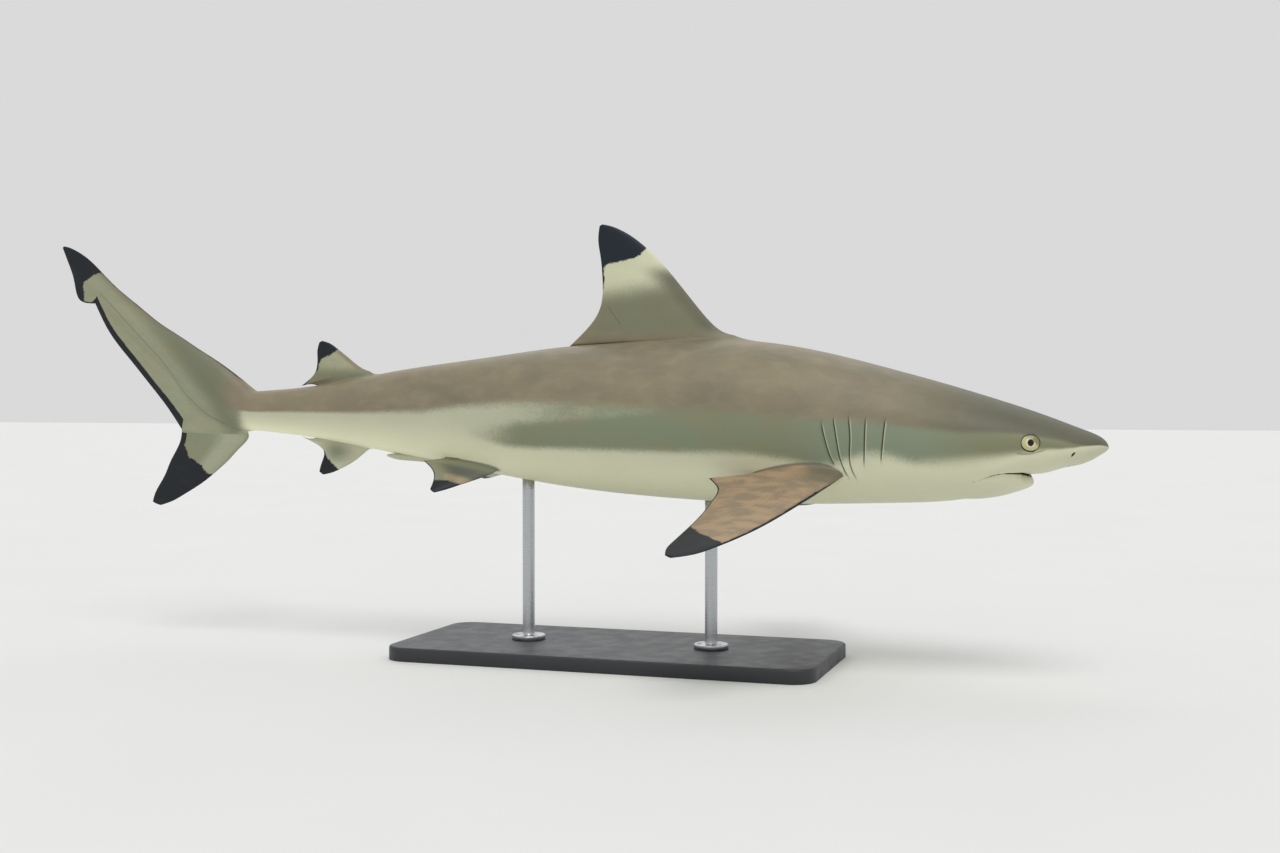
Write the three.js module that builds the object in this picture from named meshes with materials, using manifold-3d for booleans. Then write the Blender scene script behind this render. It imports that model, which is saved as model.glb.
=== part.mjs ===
// A blacktip reef shark, life size, held on a plain display stand. Millimetres: +X points to
// the snout, +Y to the shark's left and +Z up. The origin is under the middle of the base.
// "Station" is the distance behind the snout, measured along X.

import * as THREE from 'three';
import Module from 'manifold-3d';

const wasm = await Module();
wasm.setup();

const SNOUT_X = 607.5;
const LENGTH = 1500; // snout to the tip of the upper tail lobe, the lobe laid straight
const BOW = 24; // how far the middle of the body bends to the left
const SWING = 35; // how far the tail tip swings to the right
const GAP = 0.3; // kept between neighbours

const AROUND = 32; // facets around the body
const FIN_COLUMNS = 7; // facets from a fin's leading edge to its trailing edge
const TAIL_COLUMNS = 9;
const TRAILING_HALF = 0.6; // half the thickness of a fin's trailing edge
const ROUND_SIDES = 24; // facets around a rod

// Station, height of the back, height of the belly, half width, height of the widest place as
// a share of the depth, and how square the section is above and below it.
const BODY = [
  [0, 278, 278, 0, 0.5, 0, 0],
  [10, 291.5, 269, 28, 0.5, 0, 0.05],
  [35, 302, 257.5, 47.5, 0.47, 0, 0.12],
  [80, 319, 248.5, 61, 0.45, 0.02, 0.2],
  [125, 334, 226.5, 68.5, 0.47, 0.02, 0.18],
  [180, 351, 213, 75, 0.47, 0, 0.16],
  [260, 373.5, 208, 81, 0.46, 0, 0.16],
  [350, 394.5, 205, 85, 0.45, 0, 0.14],
  [450, 408, 205, 87, 0.45, 0, 0.12],
  [560, 408.5, 210, 84, 0.46, 0, 0.1],
  [680, 403, 221, 74, 0.48, 0.02, 0.08],
  [800, 388.5, 239.5, 58, 0.5, 0.04, 0.06],
  [930, 371.5, 262, 42, 0.5, 0.06, 0.06],
  [1050, 352, 282, 29, 0.5, 0.08, 0.1],
  [1140, 345, 291, 21, 0.5, 0.08, 0.1],
];
const GILLS_END = 345; // the head ends behind the last gill slit
const TRUNK_END = 838; // the trunk ends behind the pelvic fins
const STALK_END = 1135;

// The mouth is an arch across the underside. The jaw below it bulges down.
const MOUTH_FRONT = 82;
const MOUTH_CORNER = 150;
const JAW_END = 165;
const MOUTH_HALF_WIDTH = 62;
const ARCH_POWER = 2.4;
const LIP_FRONT_Z = 249;
const LIP_SLOPE = 0.132; // how fast the lip line falls toward the corner
const MOUTH_OPENING = 3.5;
const JAW_DROP = 12;
const JAW_DROP_LENGTH = 75;
const JAW_RIM = 0.25; // share of the arch over which the jaw rounds down
const JAW_STATIONS = [82.6, 84, 86.5, 90, 95, 102, 112, 124, 137, 150, 158, JAW_END];
const JAW_HINGE = 40; // the opening closes over this length ahead of the jaw's end
const JAW_THINNEST = 1;
const MOUTH_CUT_WIDE = 90; // wider than half the head
const MOUTH_CUT_LOW = 150; // lower than the chin
const MOUTH_CUT_AHEAD = 6;

const EYE_STATION = 84.7;
const EYE_ANGLE = 83.2; // degrees down from the top of the section
const EYE_HALF_LENGTH = 13;
const EYE_HALF_HEIGHT = 11.8;
const EYE_HALF_DEPTH = 7.6;
const EYE_SUNK = 4.3; // how far the eyeball's centre lies under the skin

// Station and angle in degrees down from the top, from the upper end of each slit to its lower.
const GILL_SLITS = [
  [[249.5, 72], [251, 84], [252.5, 95], [254, 105.5]],
  [[272.5, 74], [272.8, 86], [273.2, 98], [274, 109]],
  [[292.5, 74], [290, 90], [290.4, 107], [283, 122]],
  [[310.5, 76], [306, 90], [302.7, 105], [296, 120]],
  [[324.5, 80], [319, 91], [313.3, 103.5], [303.5, 116]],
];
const GILL_WIDTH = 1.2;
const GILL_DEPTH = 4;
const NOSTRIL = [[36, 101], [39, 107], [43, 117]];
const NOSTRIL_WIDTH = 3;
const NOSTRIL_DEPTH = 5;

// Each fin is a table of rows from its root, inside the body, to its tip: the leading edge's
// two coordinates, the trailing edge's two, and half the thickness. The third row ends at the
// free rear tip. A middle fin's coordinates are station and height.
const FIRST_DORSAL = [
  [425, 396, 608, 396, 9],
  [447, 413.5, 645, 407.5, 8.6],
  [473, 422.5, 676, 406.5, 8],
  [500, 449.5, 650, 427.5, 7],
  [540, 498, 631.5, 459, 5.6],
  [575, 533, 630, 490, 4],
  [603, 552, 633.5, 524, 2.8],
  [622, 559.5, 635.5, 548, 1.7],
  [628.5, 560.8, 634, 558, 1.1],
];
const SECOND_DORSAL = [
  [950, 358, 1032, 346, 4.6],
  [962, 371.3, 1050, 354.8, 4.3],
  [973, 375.3, 1067.5, 352.6, 4],
  [984, 382, 1050, 366, 3.5],
  [997, 392, 1043.5, 380, 2.8],
  [1012, 403.2, 1042.7, 393, 2.1],
  [1026, 411.8, 1042.2, 404, 1.5],
  [1034.5, 414.2, 1040, 411, 1.1],
];
const ANAL = [
  [958, 276, 1032, 290, 4.6],
  [967, 265.5, 1050, 280, 4.2],
  [973.5, 260, 1066, 282, 3.9],
  [984, 252, 1051, 275.5, 3.4],
  [997, 244.2, 1036, 266.5, 2.8],
  [1010, 238, 1033.5, 256, 2.2],
  [1023, 233, 1038, 244, 1.6],
  [1033.5, 230.7, 1040.3, 235.5, 1.1],
];
// A paired fin's coordinates run back along the body and out from its root.
const PECTORAL = {
  root: [300, 75.6, 243.8], // station, distance from the middle plane, height
  droop: 18.5, // degrees below level
  pitch: 0, // degrees that the chord rises to the rear
  rows: [
    [-2, -12, 84, -12, 12.5],
    [3.5, 10, 125, 7, 11.5],
    [10, 29, 161, 16, 10],
    [22, 60, 143.5, 44, 7.8],
    [40.5, 106, 139, 82, 6.2],
    [59, 149, 140, 122, 5],
    [80, 187, 145, 165, 3.8],
    [104, 221, 151.5, 205, 2.7],
    [125, 240, 153, 229, 1.8],
    [140, 246.5, 150.5, 240, 1.2],
  ],
};
const PELVIC = {
  root: [760, 32.5, 242],
  droop: 44,
  pitch: 10,
  rows: [
    [-3, -12, 64, -12, 5.2],
    [6, 6, 86, 2, 4.8],
    [13.5, 14.2, 105, 10.7, 4.3],
    [27, 26.3, 91, 19.3, 3.6],
    [42, 39, 81, 30.5, 2.8],
    [56.5, 51, 76.5, 44, 1.9],
    [66.5, 58, 75, 54.2, 1.2],
  ],
};

// The tail fin's upper lobe: upper edge, rear edge, half the thickness over the backbone, where
// the backbone lies from the upper edge (0) to the rear edge (1), how far its muscle reaches on
// that scale, the muscle's fullness, and half the thickness of the web.
const UPPER_LOBE = [
  [1135.3, 345.6, 1135.3, 290.8, 21, 0.5, 0.5, 0.5, 0],
  [1150, 354.8, 1160, 287.5, 18.5, 0.46, 0.5, 0.62, 0.6],
  [1177, 374.5, 1195, 286, 14.5, 0.4, 0.46, 0.85, 2],
  [1201, 390, 1228, 287.5, 11, 0.35, 0.4, 1.05, 2.4],
  [1225, 404, 1254, 291.5, 8.5, 0.31, 0.34, 1.2, 2.4],
  [1256, 423, 1276, 322, 6.8, 0.29, 0.31, 1.3, 2.1],
  [1288, 442, 1306, 357, 5.5, 0.3, 0.3, 1.4, 1.9],
  [1319, 465, 1337, 392, 4.5, 0.32, 0.32, 1.4, 1.7],
  [1351, 489, 1369, 430.5, 3.4, 0.36, 0.36, 1.4, 1.5],
  [1376, 511.5, 1391, 471, 2.4, 0.42, 0.4, 1.4, 1.3],
  [1398, 532, 1417.5, 478, 1.4, 0.42, 0.4, 1.4, 1.3],
  [1420, 546.5, 1426, 508, 0.7, 0.45, 0.4, 1.4, 1.2],
  [1434, 552.5, 1435, 532, 0.3, 0.5, 0.4, 1.4, 1.1],
  [1440, 553.7, 1442.5, 550.5, 0, 0.5, 0.4, 1.4, 1],
];
const LOWER_LOBE = [
  [1158, 322, 1232, 318, 4],
  [1150, 288, 1253.5, 291, 5.4],
  [1149, 281.5, 1254.6, 283.5, 5.6],
  [1163, 266, 1257, 273.5, 5],
  [1179, 250.3, 1263.5, 261, 4.3],
  [1200, 232.6, 1272, 246.5, 3.5],
  [1226, 213.8, 1281, 227, 2.7],
  [1250, 200, 1289.5, 213.3, 2],
  [1271, 189.2, 1297.5, 199, 1.4],
  [1287, 184, 1300.5, 189, 1.1],
];
const LOBE_SPLIT = [[1135, 286.5], [1254, 291]]; // the line between the two lobes

const CLASPER = [[806, 15, 252, 5], [850, 14.5, 252.5, 4.6], [900, 12, 254.5, 4.2],
  [926, 10.5, 256.5, 3], [933, 10, 257, 1.2]]; // station, distance out, height, radius

const BASE_LENGTH = 560;
const BASE_WIDTH = 240;
const BASE_HEIGHT = 18;
const BASE_CORNER = 30;
const BASE_CHAMFER = 3;
const ROD_RADIUS = 8;
const ROD_OFFSET = 125; // each rod's distance from the middle of the base
const ROD_TOP = 300; // inside the body, before the body is cut away
const FLANGE_RADIUS = 22;
const FLANGE_HEIGHT = 6;
const FLANGE_CHAMFER = 1.5;

const SKIN = new THREE.MeshStandardMaterial({ name: 'skin', color: 0x7d705c, roughness: 0.55 });
const PALE = new THREE.MeshStandardMaterial({ name: 'pale_skin', color: 0xd8d2bb, roughness: 0.55 });
const EYE = new THREE.MeshStandardMaterial({ name: 'eye', color: 0x14140f, roughness: 0.1 });
const BASE = new THREE.MeshStandardMaterial({ name: 'base', color: 0x2b2d30, roughness: 0.5 });
const STEEL = new THREE.MeshStandardMaterial({
  name: 'rod', color: 0xb9bcc0, roughness: 0.35, metalness: 1,
});

const radians = THREE.MathUtils.degToRad;
const mix = THREE.MathUtils.lerp;
const smooth = (x) => THREE.MathUtils.smoothstep(x, 0, 1);
const range = (n) => Array.from({ length: n }, (_, i) => i);

/** The natural cubic spline through values at rising knots, as a function. */
function spline(knots, values) {
  const last = knots.length - 1;
  const step = range(last).map((i) => knots[i + 1] - knots[i]);
  const bend = knots.map(() => 0);
  const above = knots.map(() => 0);
  for (let i = 1; i < last; i += 1) {
    const slopes = (values[i + 1] - values[i]) / step[i] - (values[i] - values[i - 1]) / step[i - 1];
    const pivot = 2 * (step[i - 1] + step[i]) - step[i - 1] * above[i - 1];
    above[i] = step[i] / pivot;
    bend[i] = (6 * slopes - step[i - 1] * bend[i - 1]) / pivot;
  }
  for (let i = last - 1; i > 0; i -= 1) bend[i] -= above[i] * bend[i + 1];
  return (x) => {
    let i = 0;
    while (i < last - 1 && x > knots[i + 1]) i += 1;
    const b = (x - knots[i]) / step[i];
    const a = 1 - b;
    const cubic = (a ** 3 - a) * bend[i] + (b ** 3 - b) * bend[i + 1];
    return a * values[i] + b * values[i + 1] + (cubic * step[i] ** 2) / 6;
  };
}

/** How far the middle of the body lies to the left at a station. */
function centreline(station) {
  const t = station / LENGTH;
  return BOW * t * (1 - t) - SWING * t ** 3;
}

// The square root of the station makes the snout round.
const bodyKnots = BODY.map((row) => Math.sqrt(row[0]));
const bodyCurves = range(6).map((i) => spline(bodyKnots, BODY.map((row) => row[i + 1])));

/** A point of the skin: the angle is in degrees down from the top, positive on the left. */
function bodyPoint(station, angle, grow = 0) {
  const at = Math.sqrt(station);
  const [top, bottom, half, widest, above, below] = bodyCurves.map((curve) => curve(at));
  const middle = mix(bottom, top, widest);
  const up = Math.cos(radians(angle));
  const out = Math.sin(radians(angle));
  const square = up >= 0 ? above : below;
  const height = (up >= 0 ? top - middle : middle - bottom) + grow;
  return [
    SNOUT_X - station,
    centreline(station) + (half + grow) * out * (1 + square * up ** 2),
    middle + height * up * (1 + square * out ** 2),
  ];
}

/** The angle at which the lower half of a section reaches a wanted value, by halving. */
function angleWhere(station, value, wanted) {
  let [low, high] = [90, 180];
  for (let i = 0; i < 40; i += 1) {
    const angle = (low + high) / 2;
    if (value(bodyPoint(station, angle)) > wanted) low = angle;
    else high = angle;
  }
  return low;
}

/** A closed solid through rings of as many points each. A ring of one point closes an end. */
function solidThrough(rings) {
  const spots = [];
  const faces = [];
  const firsts = rings.map((ring) => {
    const first = spots.length;
    spots.push(...ring);
    return first;
  });
  const fan = (index, hub, forward) => {
    const n = rings[index].length;
    for (let j = 0; j < n; j += 1) {
      const pair = [firsts[index] + j, firsts[index] + ((j + 1) % n)];
      faces.push(forward ? [hub, pair[1], pair[0]] : [hub, pair[0], pair[1]]);
    }
  };
  const capped = (index, forward) => {
    const ring = rings[index];
    if (ring.length === 1) return;
    spots.push([0, 1, 2].map((k) => ring.reduce((sum, p) => sum + p[k], 0) / ring.length));
    fan(index, spots.length - 1, forward);
  };
  for (let i = 0; i + 1 < rings.length; i += 1) {
    if (rings[i].length === 1) fan(i + 1, firsts[i], true);
    else if (rings[i + 1].length === 1) fan(i, firsts[i + 1], false);
    else {
      const n = rings[i].length;
      for (let j = 0; j < n; j += 1) {
        const k = (j + 1) % n;
        const [a, b] = [firsts[i] + j, firsts[i] + k];
        const [c, d] = [firsts[i + 1] + j, firsts[i + 1] + k];
        faces.push([a, b, d], [a, d, c]);
      }
    }
  }
  capped(0, true);
  capped(rings.length - 1, false);
  const sixfold = faces.reduce((sum, [a, b, c]) => {
    const [p, q, r] = [a, b, c].map((i) => new THREE.Vector3(...spots[i]));
    return sum + p.dot(q.cross(r));
  }, 0);
  const outward = sixfold > 0 ? faces : faces.map(([a, b, c]) => [a, c, b]);
  return new wasm.Manifold(new wasm.Mesh({
    numProp: 3,
    vertProperties: new Float32Array(spots.flat()),
    triVerts: new Uint32Array(outward.flat()),
  }));
}

/** The body between two stations, cut square. Crowding over 1 puts more rings in front. */
function bodySolid(from, to, count, { crowding = 1, grow = 0 } = {}) {
  return solidThrough(range(count + 1).map((i) => {
    const station = mix(from, to, (i / count) ** crowding);
    if (station === 0) return [bodyPoint(0, 0)];
    return range(AROUND).map((j) => bodyPoint(station, (360 * j) / AROUND, grow));
  }));
}

/** A rounded fin section: thickest a third of the way back, from 0 at the front. */
function foil(share) {
  return 2.6 * Math.sqrt(share) * (1 - share);
}

/** One closed ring of a fin: over one side to the trailing edge and back over the other. */
function finRing(columns, place, thickness) {
  const shares = range(columns + 1).map((j) => (1 - Math.cos((Math.PI * j) / columns)) / 2);
  const half = (share) => (share ? thickness(share) + TRAILING_HALF * share : 0);
  const over = shares.map((share) => place(share, half(share)));
  const under = shares.slice(1).reverse().map((share) => place(share, -half(share)));
  return [...over, ...under];
}

/** A fin from its table; place turns two coordinates and a thickness into a point. */
function finSolid(rows, place) {
  return solidThrough(rows.map(([leadA, leadB, trailA, trailB, thick]) => finRing(
    FIN_COLUMNS,
    (share, height) => place(mix(leadA, trailA, share), mix(leadB, trailB, share), height),
    (share) => thick * foil(share),
  )));
}

/** Places a middle fin's station, height and thickness. */
function onMiddle(station, height, thickness) {
  return [SNOUT_X - station, centreline(station) + thickness, height];
}

/** Places a paired fin's coordinates on one side: 1 is the left and -1 the right. */
function onSide({ root, droop, pitch }, side) {
  const back = new THREE.Vector3(-Math.cos(radians(pitch)), 0, Math.sin(radians(pitch)));
  const out = new THREE.Vector3(0, Math.cos(radians(droop)), -Math.sin(radians(droop)));
  out.addScaledVector(back, -out.dot(back)).normalize();
  const up = new THREE.Vector3().crossVectors(out, back);
  return (a, b, thickness) => {
    const spot = new THREE.Vector3(SNOUT_X - root[0], root[1], root[2]);
    spot.addScaledVector(back, a).addScaledVector(out, b).addScaledVector(up, thickness);
    return [spot.x, centreline(SNOUT_X - spot.x) + side * spot.y, spot.z];
  };
}

/** A ball squashed along three directions. */
function ellipsoid(centre, axes, rings = 9, around = 16) {
  const spot = (rise, turn) => [0, 1, 2].map((k) => centre.getComponent(k)
    + axes[0].getComponent(k) * Math.sin(rise) * Math.cos(turn)
    + axes[1].getComponent(k) * Math.sin(rise) * Math.sin(turn)
    + axes[2].getComponent(k) * Math.cos(rise));
  return solidThrough(range(rings + 1).map((i) => {
    const rise = (Math.PI * i) / rings;
    if (i === 0 || i === rings) return [spot(rise, 0)];
    return range(around).map((j) => spot(rise, (2 * Math.PI * j) / around));
  }));
}

/** The skin's place and outward direction at a station and angle. */
function skinFrame(station, angle) {
  const [here, behind, below] = [[0, 0], [1, 0], [0, 1]].map(
    ([ds, da]) => new THREE.Vector3(...bodyPoint(station + ds, angle + da)),
  );
  const normal = behind.clone().sub(here).cross(below.clone().sub(here)).normalize();
  if (normal.y * Math.sign(angle) < 0) normal.negate();
  return { here, normal };
}

/** A blade that cuts a slit along stations and angles on one side. */
function slitBlade(path, width, depth, side) {
  const knots = range(path.length);
  const [station, angle] = [0, 1].map((k) => spline(knots, path.map((spot) => spot[k])));
  return solidThrough(knots.map((t) => {
    const { here, normal } = skinFrame(station(t), side * angle(t));
    const ahead = skinFrame(station(t + 0.01), side * angle(t + 0.01)).here;
    const across = ahead.sub(here).normalize().cross(normal).multiplyScalar(width / 2);
    return [[1, 1], [-1, 1], [-1, -1], [1, -1]].map(([a, n]) => here.clone()
      .addScaledVector(across, a).addScaledVector(normal, n * depth).toArray());
  }));
}

/** Half the width of the mouth's arch at a station. */
function archHalf(station) {
  const share = Math.max(0, (MOUTH_CORNER - station) / (MOUTH_CORNER - MOUTH_FRONT));
  return MOUTH_HALF_WIDTH * (1 - share ** ARCH_POWER) ** (1 / ARCH_POWER);
}

/** Height of the upper lip at a station. */
function lipHeight(station) {
  return LIP_FRONT_Z - LIP_SLOPE * (station - MOUTH_FRONT);
}

/** How far the jaw bulges below the even skin. */
function jawBulge(station, offset) {
  const share = Math.max(0, (MOUTH_CORNER - station) / (MOUTH_CORNER - MOUTH_FRONT));
  const inside = 1 - share ** ARCH_POWER - Math.abs(offset / MOUTH_HALF_WIDTH) ** ARCH_POWER;
  const fade = Math.min(1, (JAW_END - station) / JAW_DROP_LENGTH);
  return JAW_DROP * fade * smooth(inside / JAW_RIM);
}

/** The lower jaw: an arched plate under the mouth that runs into the throat. */
function jawSolid() {
  return solidThrough(JAW_STATIONS.map((station) => {
    const open = MOUTH_OPENING * smooth((JAW_END - station) / JAW_HINGE);
    const topHeight = lipHeight(station) - GAP - open;
    const middle = centreline(station);
    const skinAngle = angleWhere(station, (p) => p[2], topHeight);
    const skinHalf = bodyPoint(station, skinAngle)[1] - middle;
    const half = station < MOUTH_CORNER ? Math.min(archHalf(station), skinHalf) : skinHalf;
    const bottom = range(13).map((j) => {
      const offset = half * Math.sin(radians(15 * (j - 6)));
      const angle = angleWhere(station, (p) => p[1] - middle, Math.abs(offset));
      const even = bodyPoint(station, angle)[2];
      const height = Math.min(even - jawBulge(station, offset), topHeight - JAW_THINNEST);
      return [SNOUT_X - station, middle + offset, height];
    });
    const top = range(7).map((j) => {
      const offset = half * Math.sin(radians(30 * (3 - j)));
      return [SNOUT_X - station, middle + offset, topHeight];
    });
    return [...bottom, ...top];
  }));
}

/** What the mouth takes out of the head: all below the lip, back to the throat. */
function mouthCutter() {
  return solidThrough([MOUTH_FRONT - MOUTH_CUT_AHEAD, JAW_END + GAP].map((station) => {
    const ceiling = lipHeight(station);
    return [
      [-MOUTH_CUT_WIDE, ceiling], [MOUTH_CUT_WIDE, ceiling],
      [MOUTH_CUT_WIDE, MOUTH_CUT_LOW], [-MOUTH_CUT_WIDE, MOUTH_CUT_LOW],
    ].map(([y, z]) => [SNOUT_X - station, y, z]);
  }));
}

/** The upper lobe of the tail fin, which grows out of the end of the tail stalk. */
function upperLobe() {
  return solidThrough(UPPER_LOBE.map((row) => {
    const [leadS, leadZ, trailS, trailZ, muscle, spine, reach, fullness, web] = row;
    return finRing(
      TAIL_COLUMNS,
      (share, height) => onMiddle(mix(leadS, trailS, share), mix(leadZ, trailZ, share), height),
      (share) => {
        const bump = Math.max(0, 1 - ((share - spine) / reach) ** 2) ** fullness;
        return muscle * bump + web * 2 * Math.sqrt(share * (1 - share));
      },
    );
  }));
}

/** A clasper: a tapering rod along the underside of the tail stalk. */
function clasper(side) {
  return solidThrough(CLASPER.map(([station, out, height, radius]) => range(10).map((j) => [
    SNOUT_X - station,
    centreline(station) + side * out + radius * Math.cos((Math.PI * j) / 5),
    height + radius * Math.sin((Math.PI * j) / 5),
  ])));
}

/** The stand's base: a plate with round corners and a chamfered upper edge. */
function standBase() {
  const level = (inset, z) => range(4).flatMap((corner) => range(7).map((i) => {
    const turn = (Math.PI / 2) * (corner + i / 6);
    const signs = [[1, 1], [-1, 1], [-1, -1], [1, -1]][corner];
    const radius = BASE_CORNER - inset;
    return [
      signs[0] * (BASE_LENGTH / 2 - BASE_CORNER) + radius * Math.cos(turn),
      signs[1] * (BASE_WIDTH / 2 - BASE_CORNER) + radius * Math.sin(turn),
      z,
    ];
  }));
  return solidThrough([level(0, 0), level(0, BASE_HEIGHT - BASE_CHAMFER),
    level(BASE_CHAMFER, BASE_HEIGHT)]);
}

/** A rod on a round flange, standing on the base. */
function standRod(x) {
  const foot = BASE_HEIGHT + GAP;
  const profile = [[FLANGE_RADIUS, foot], [FLANGE_RADIUS, foot + FLANGE_HEIGHT - FLANGE_CHAMFER],
    [FLANGE_RADIUS - FLANGE_CHAMFER, foot + FLANGE_HEIGHT], [ROD_RADIUS, foot + FLANGE_HEIGHT],
    [ROD_RADIUS, ROD_TOP]];
  return solidThrough(profile.map(([radius, z]) => range(ROUND_SIDES).map((j) => {
    const turn = (2 * Math.PI * j) / ROUND_SIDES;
    return [x + radius * Math.cos(turn), radius * Math.sin(turn), z];
  })));
}

const group = new THREE.Group();

/** Adds a solid to the model under a name. */
function add(name, solid, material) {
  const { numProp, vertProperties, triVerts } = solid.getMesh();
  const spots = new Float32Array((vertProperties.length / numProp) * 3);
  for (let i = 0; i < spots.length; i += 1) {
    spots[i] = vertProperties[Math.floor(i / 3) * numProp + (i % 3)];
  }
  const geometry = new THREE.BufferGeometry();
  geometry.setAttribute('position', new THREE.BufferAttribute(spots, 3));
  geometry.setIndex(new THREE.BufferAttribute(new Uint32Array(triVerts), 1));
  const mesh = new THREE.Mesh(geometry, material);
  mesh.name = name;
  group.add(mesh);
}

// The body, head to tail, and what its neighbours keep clear of.
const bodyRoom = bodySolid(60, STALK_END, 36, { grow: GAP });
const SIDES = [['left', 1], ['right', -1]];

let head = bodySolid(0, GILLS_END, 18, { crowding: 1.6 }).subtract(mouthCutter());
for (const [name, side] of SIDES) {
  const { here, normal } = skinFrame(EYE_STATION, side * EYE_ANGLE);
  const lift = new THREE.Vector3(0, 0, 1).addScaledVector(normal, -normal.z).normalize();
  const along = new THREE.Vector3().crossVectors(lift, normal);
  const centre = here.addScaledVector(normal, -EYE_SUNK);
  const eyeball = (grow) => ellipsoid(centre, [
    along.clone().multiplyScalar(EYE_HALF_LENGTH + grow),
    lift.clone().multiplyScalar(EYE_HALF_HEIGHT + grow),
    normal.clone().multiplyScalar(EYE_HALF_DEPTH + grow),
  ]);
  head = head.subtract(eyeball(GAP));
  head = head.subtract(slitBlade(NOSTRIL, NOSTRIL_WIDTH, NOSTRIL_DEPTH, side));
  for (const path of GILL_SLITS) head = head.subtract(slitBlade(path, GILL_WIDTH, GILL_DEPTH, side));
  add(`eye_${name}`, eyeball(0), EYE);
}
add('head', head, SKIN);
add('lower_jaw', jawSolid(), PALE);
add('trunk', bodySolid(GILLS_END + GAP, TRUNK_END, 10), SKIN);
add('tail_stalk', bodySolid(TRUNK_END + GAP, STALK_END - GAP, 7), SKIN);

add('first_dorsal_fin', finSolid(FIRST_DORSAL, onMiddle).subtract(bodyRoom), SKIN);
add('second_dorsal_fin', finSolid(SECOND_DORSAL, onMiddle).subtract(bodyRoom), SKIN);
add('anal_fin', finSolid(ANAL, onMiddle).subtract(bodyRoom), SKIN);
for (const [name, side] of SIDES) {
  add(`pectoral_fin_${name}`, finSolid(PECTORAL.rows, onSide(PECTORAL, side)).subtract(bodyRoom), SKIN);
  add(`pelvic_fin_${name}`, finSolid(PELVIC.rows, onSide(PELVIC, side)).subtract(bodyRoom), SKIN);
  add(`clasper_${name}`, clasper(side).subtract(bodyRoom), PALE);
}

const [[splitS, splitZ], [forkS, forkZ]] = LOBE_SPLIT;
const splitNormal = new THREE.Vector3(forkZ - splitZ, 0, forkS - splitS).normalize();
const splitHeight = splitNormal.dot(new THREE.Vector3(SNOUT_X - splitS, 0, splitZ));
const tailFin = upperLobe().add(finSolid(LOWER_LOBE, onMiddle));
add('tail_fin_upper_lobe',
  tailFin.trimByPlane(splitNormal.toArray(), splitHeight + GAP / 2), SKIN);
add('tail_fin_lower_lobe',
  tailFin.trimByPlane(splitNormal.clone().negate().toArray(), GAP / 2 - splitHeight), SKIN);

add('stand_base', standBase(), BASE);
add('stand_rod_front', standRod(ROD_OFFSET).subtract(bodyRoom), STEEL);
add('stand_rod_rear', standRod(-ROD_OFFSET).subtract(bodyRoom), STEEL);

export default group;
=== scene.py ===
"""A blacktip reef shark, life size, held still on a plain display stand."""

import math

import bmesh
import bpy
import numpy as np
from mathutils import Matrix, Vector
from mathutils.geometry import delaunay_2d_cdt


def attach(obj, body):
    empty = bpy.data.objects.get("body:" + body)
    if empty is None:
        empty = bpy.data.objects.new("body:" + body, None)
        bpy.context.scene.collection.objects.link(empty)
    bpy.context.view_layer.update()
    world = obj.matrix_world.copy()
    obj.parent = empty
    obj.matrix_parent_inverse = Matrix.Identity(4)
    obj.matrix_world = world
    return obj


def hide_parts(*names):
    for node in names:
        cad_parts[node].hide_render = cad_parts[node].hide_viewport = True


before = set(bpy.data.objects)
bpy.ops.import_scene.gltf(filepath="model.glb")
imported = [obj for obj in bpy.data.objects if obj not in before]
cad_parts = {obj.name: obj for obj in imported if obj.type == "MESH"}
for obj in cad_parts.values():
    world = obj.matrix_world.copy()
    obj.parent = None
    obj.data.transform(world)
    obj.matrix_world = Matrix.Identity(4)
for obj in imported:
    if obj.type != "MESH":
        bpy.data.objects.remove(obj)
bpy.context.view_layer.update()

# ---------------------------------------------------------------------------------------------
# Camera: low beside the shark's right flank and a little ahead of its middle, so that the head
# is nearest and the tail swings away.
CAMERA_SPOT = (0.6571, -1.8969, 0.340)
CAMERA_TURN = 18.3
CAMERA_DIP = 1.162
CAMERA_LENS = 43.68
CAMERA_SENSOR = 36.0

camera_data = bpy.data.cameras.new("camera")
camera_data.lens = CAMERA_LENS
camera_data.sensor_width = CAMERA_SENSOR
camera = bpy.data.objects.new("camera", camera_data)
camera.location = CAMERA_SPOT
camera.rotation_euler = (math.radians(90 - CAMERA_DIP), 0, math.radians(CAMERA_TURN))
bpy.context.collection.objects.link(camera)
bpy.context.scene.camera = camera

# ---------------------------------------------------------------------------------------------
# Skin: one unbroken hide of tiny scales over the head, jaw, trunk, tail and every fin, painted on
# a cast body. It is worked out in millimetres: a station is the distance behind the snout, and an
# angle goes down from the top of a section, positive on the shark's left.
MM = 0.001
SNOUT_X = 607.5
LENGTH = 1500.0
BOW = 24.0
SWING = 35.0
AROUND = 120
STALK_END = 1135.3
SQUARE_FADE = (1085.0, 50.0)

# Station, top, bottom, half width, widest place as a share of the depth, squareness above, below.
BODY = np.array([
    [0, 278, 278, 0, 0.5, 0, 0],
    [10, 291.5, 269, 28, 0.5, 0, 0.05],
    [35, 302, 257.5, 47.5, 0.47, 0, 0.12],
    [80, 319, 248.5, 61, 0.45, 0.02, 0.2],
    [125, 334, 226.5, 68.5, 0.47, 0.02, 0.18],
    [180, 351, 213, 75, 0.47, 0, 0.16],
    [260, 373.5, 208, 81, 0.46, 0, 0.16],
    [350, 395.8, 205, 85, 0.45, 0, 0.14],
    [450, 409.4, 205, 87, 0.45, 0, 0.12],
    [560, 408.5, 210, 84, 0.46, 0, 0.1],
    [680, 403, 221, 74, 0.48, 0.02, 0.08],
    [800, 388.5, 239.5, 58, 0.5, 0.04, 0.06],
    [930, 371.5, 262, 42, 0.5, 0.06, 0.06],
    [1050, 352, 282, 29, 0.5, 0.08, 0.1],
    [1140, 345, 291, 21, 0.5, 0.08, 0.1],
])


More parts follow.
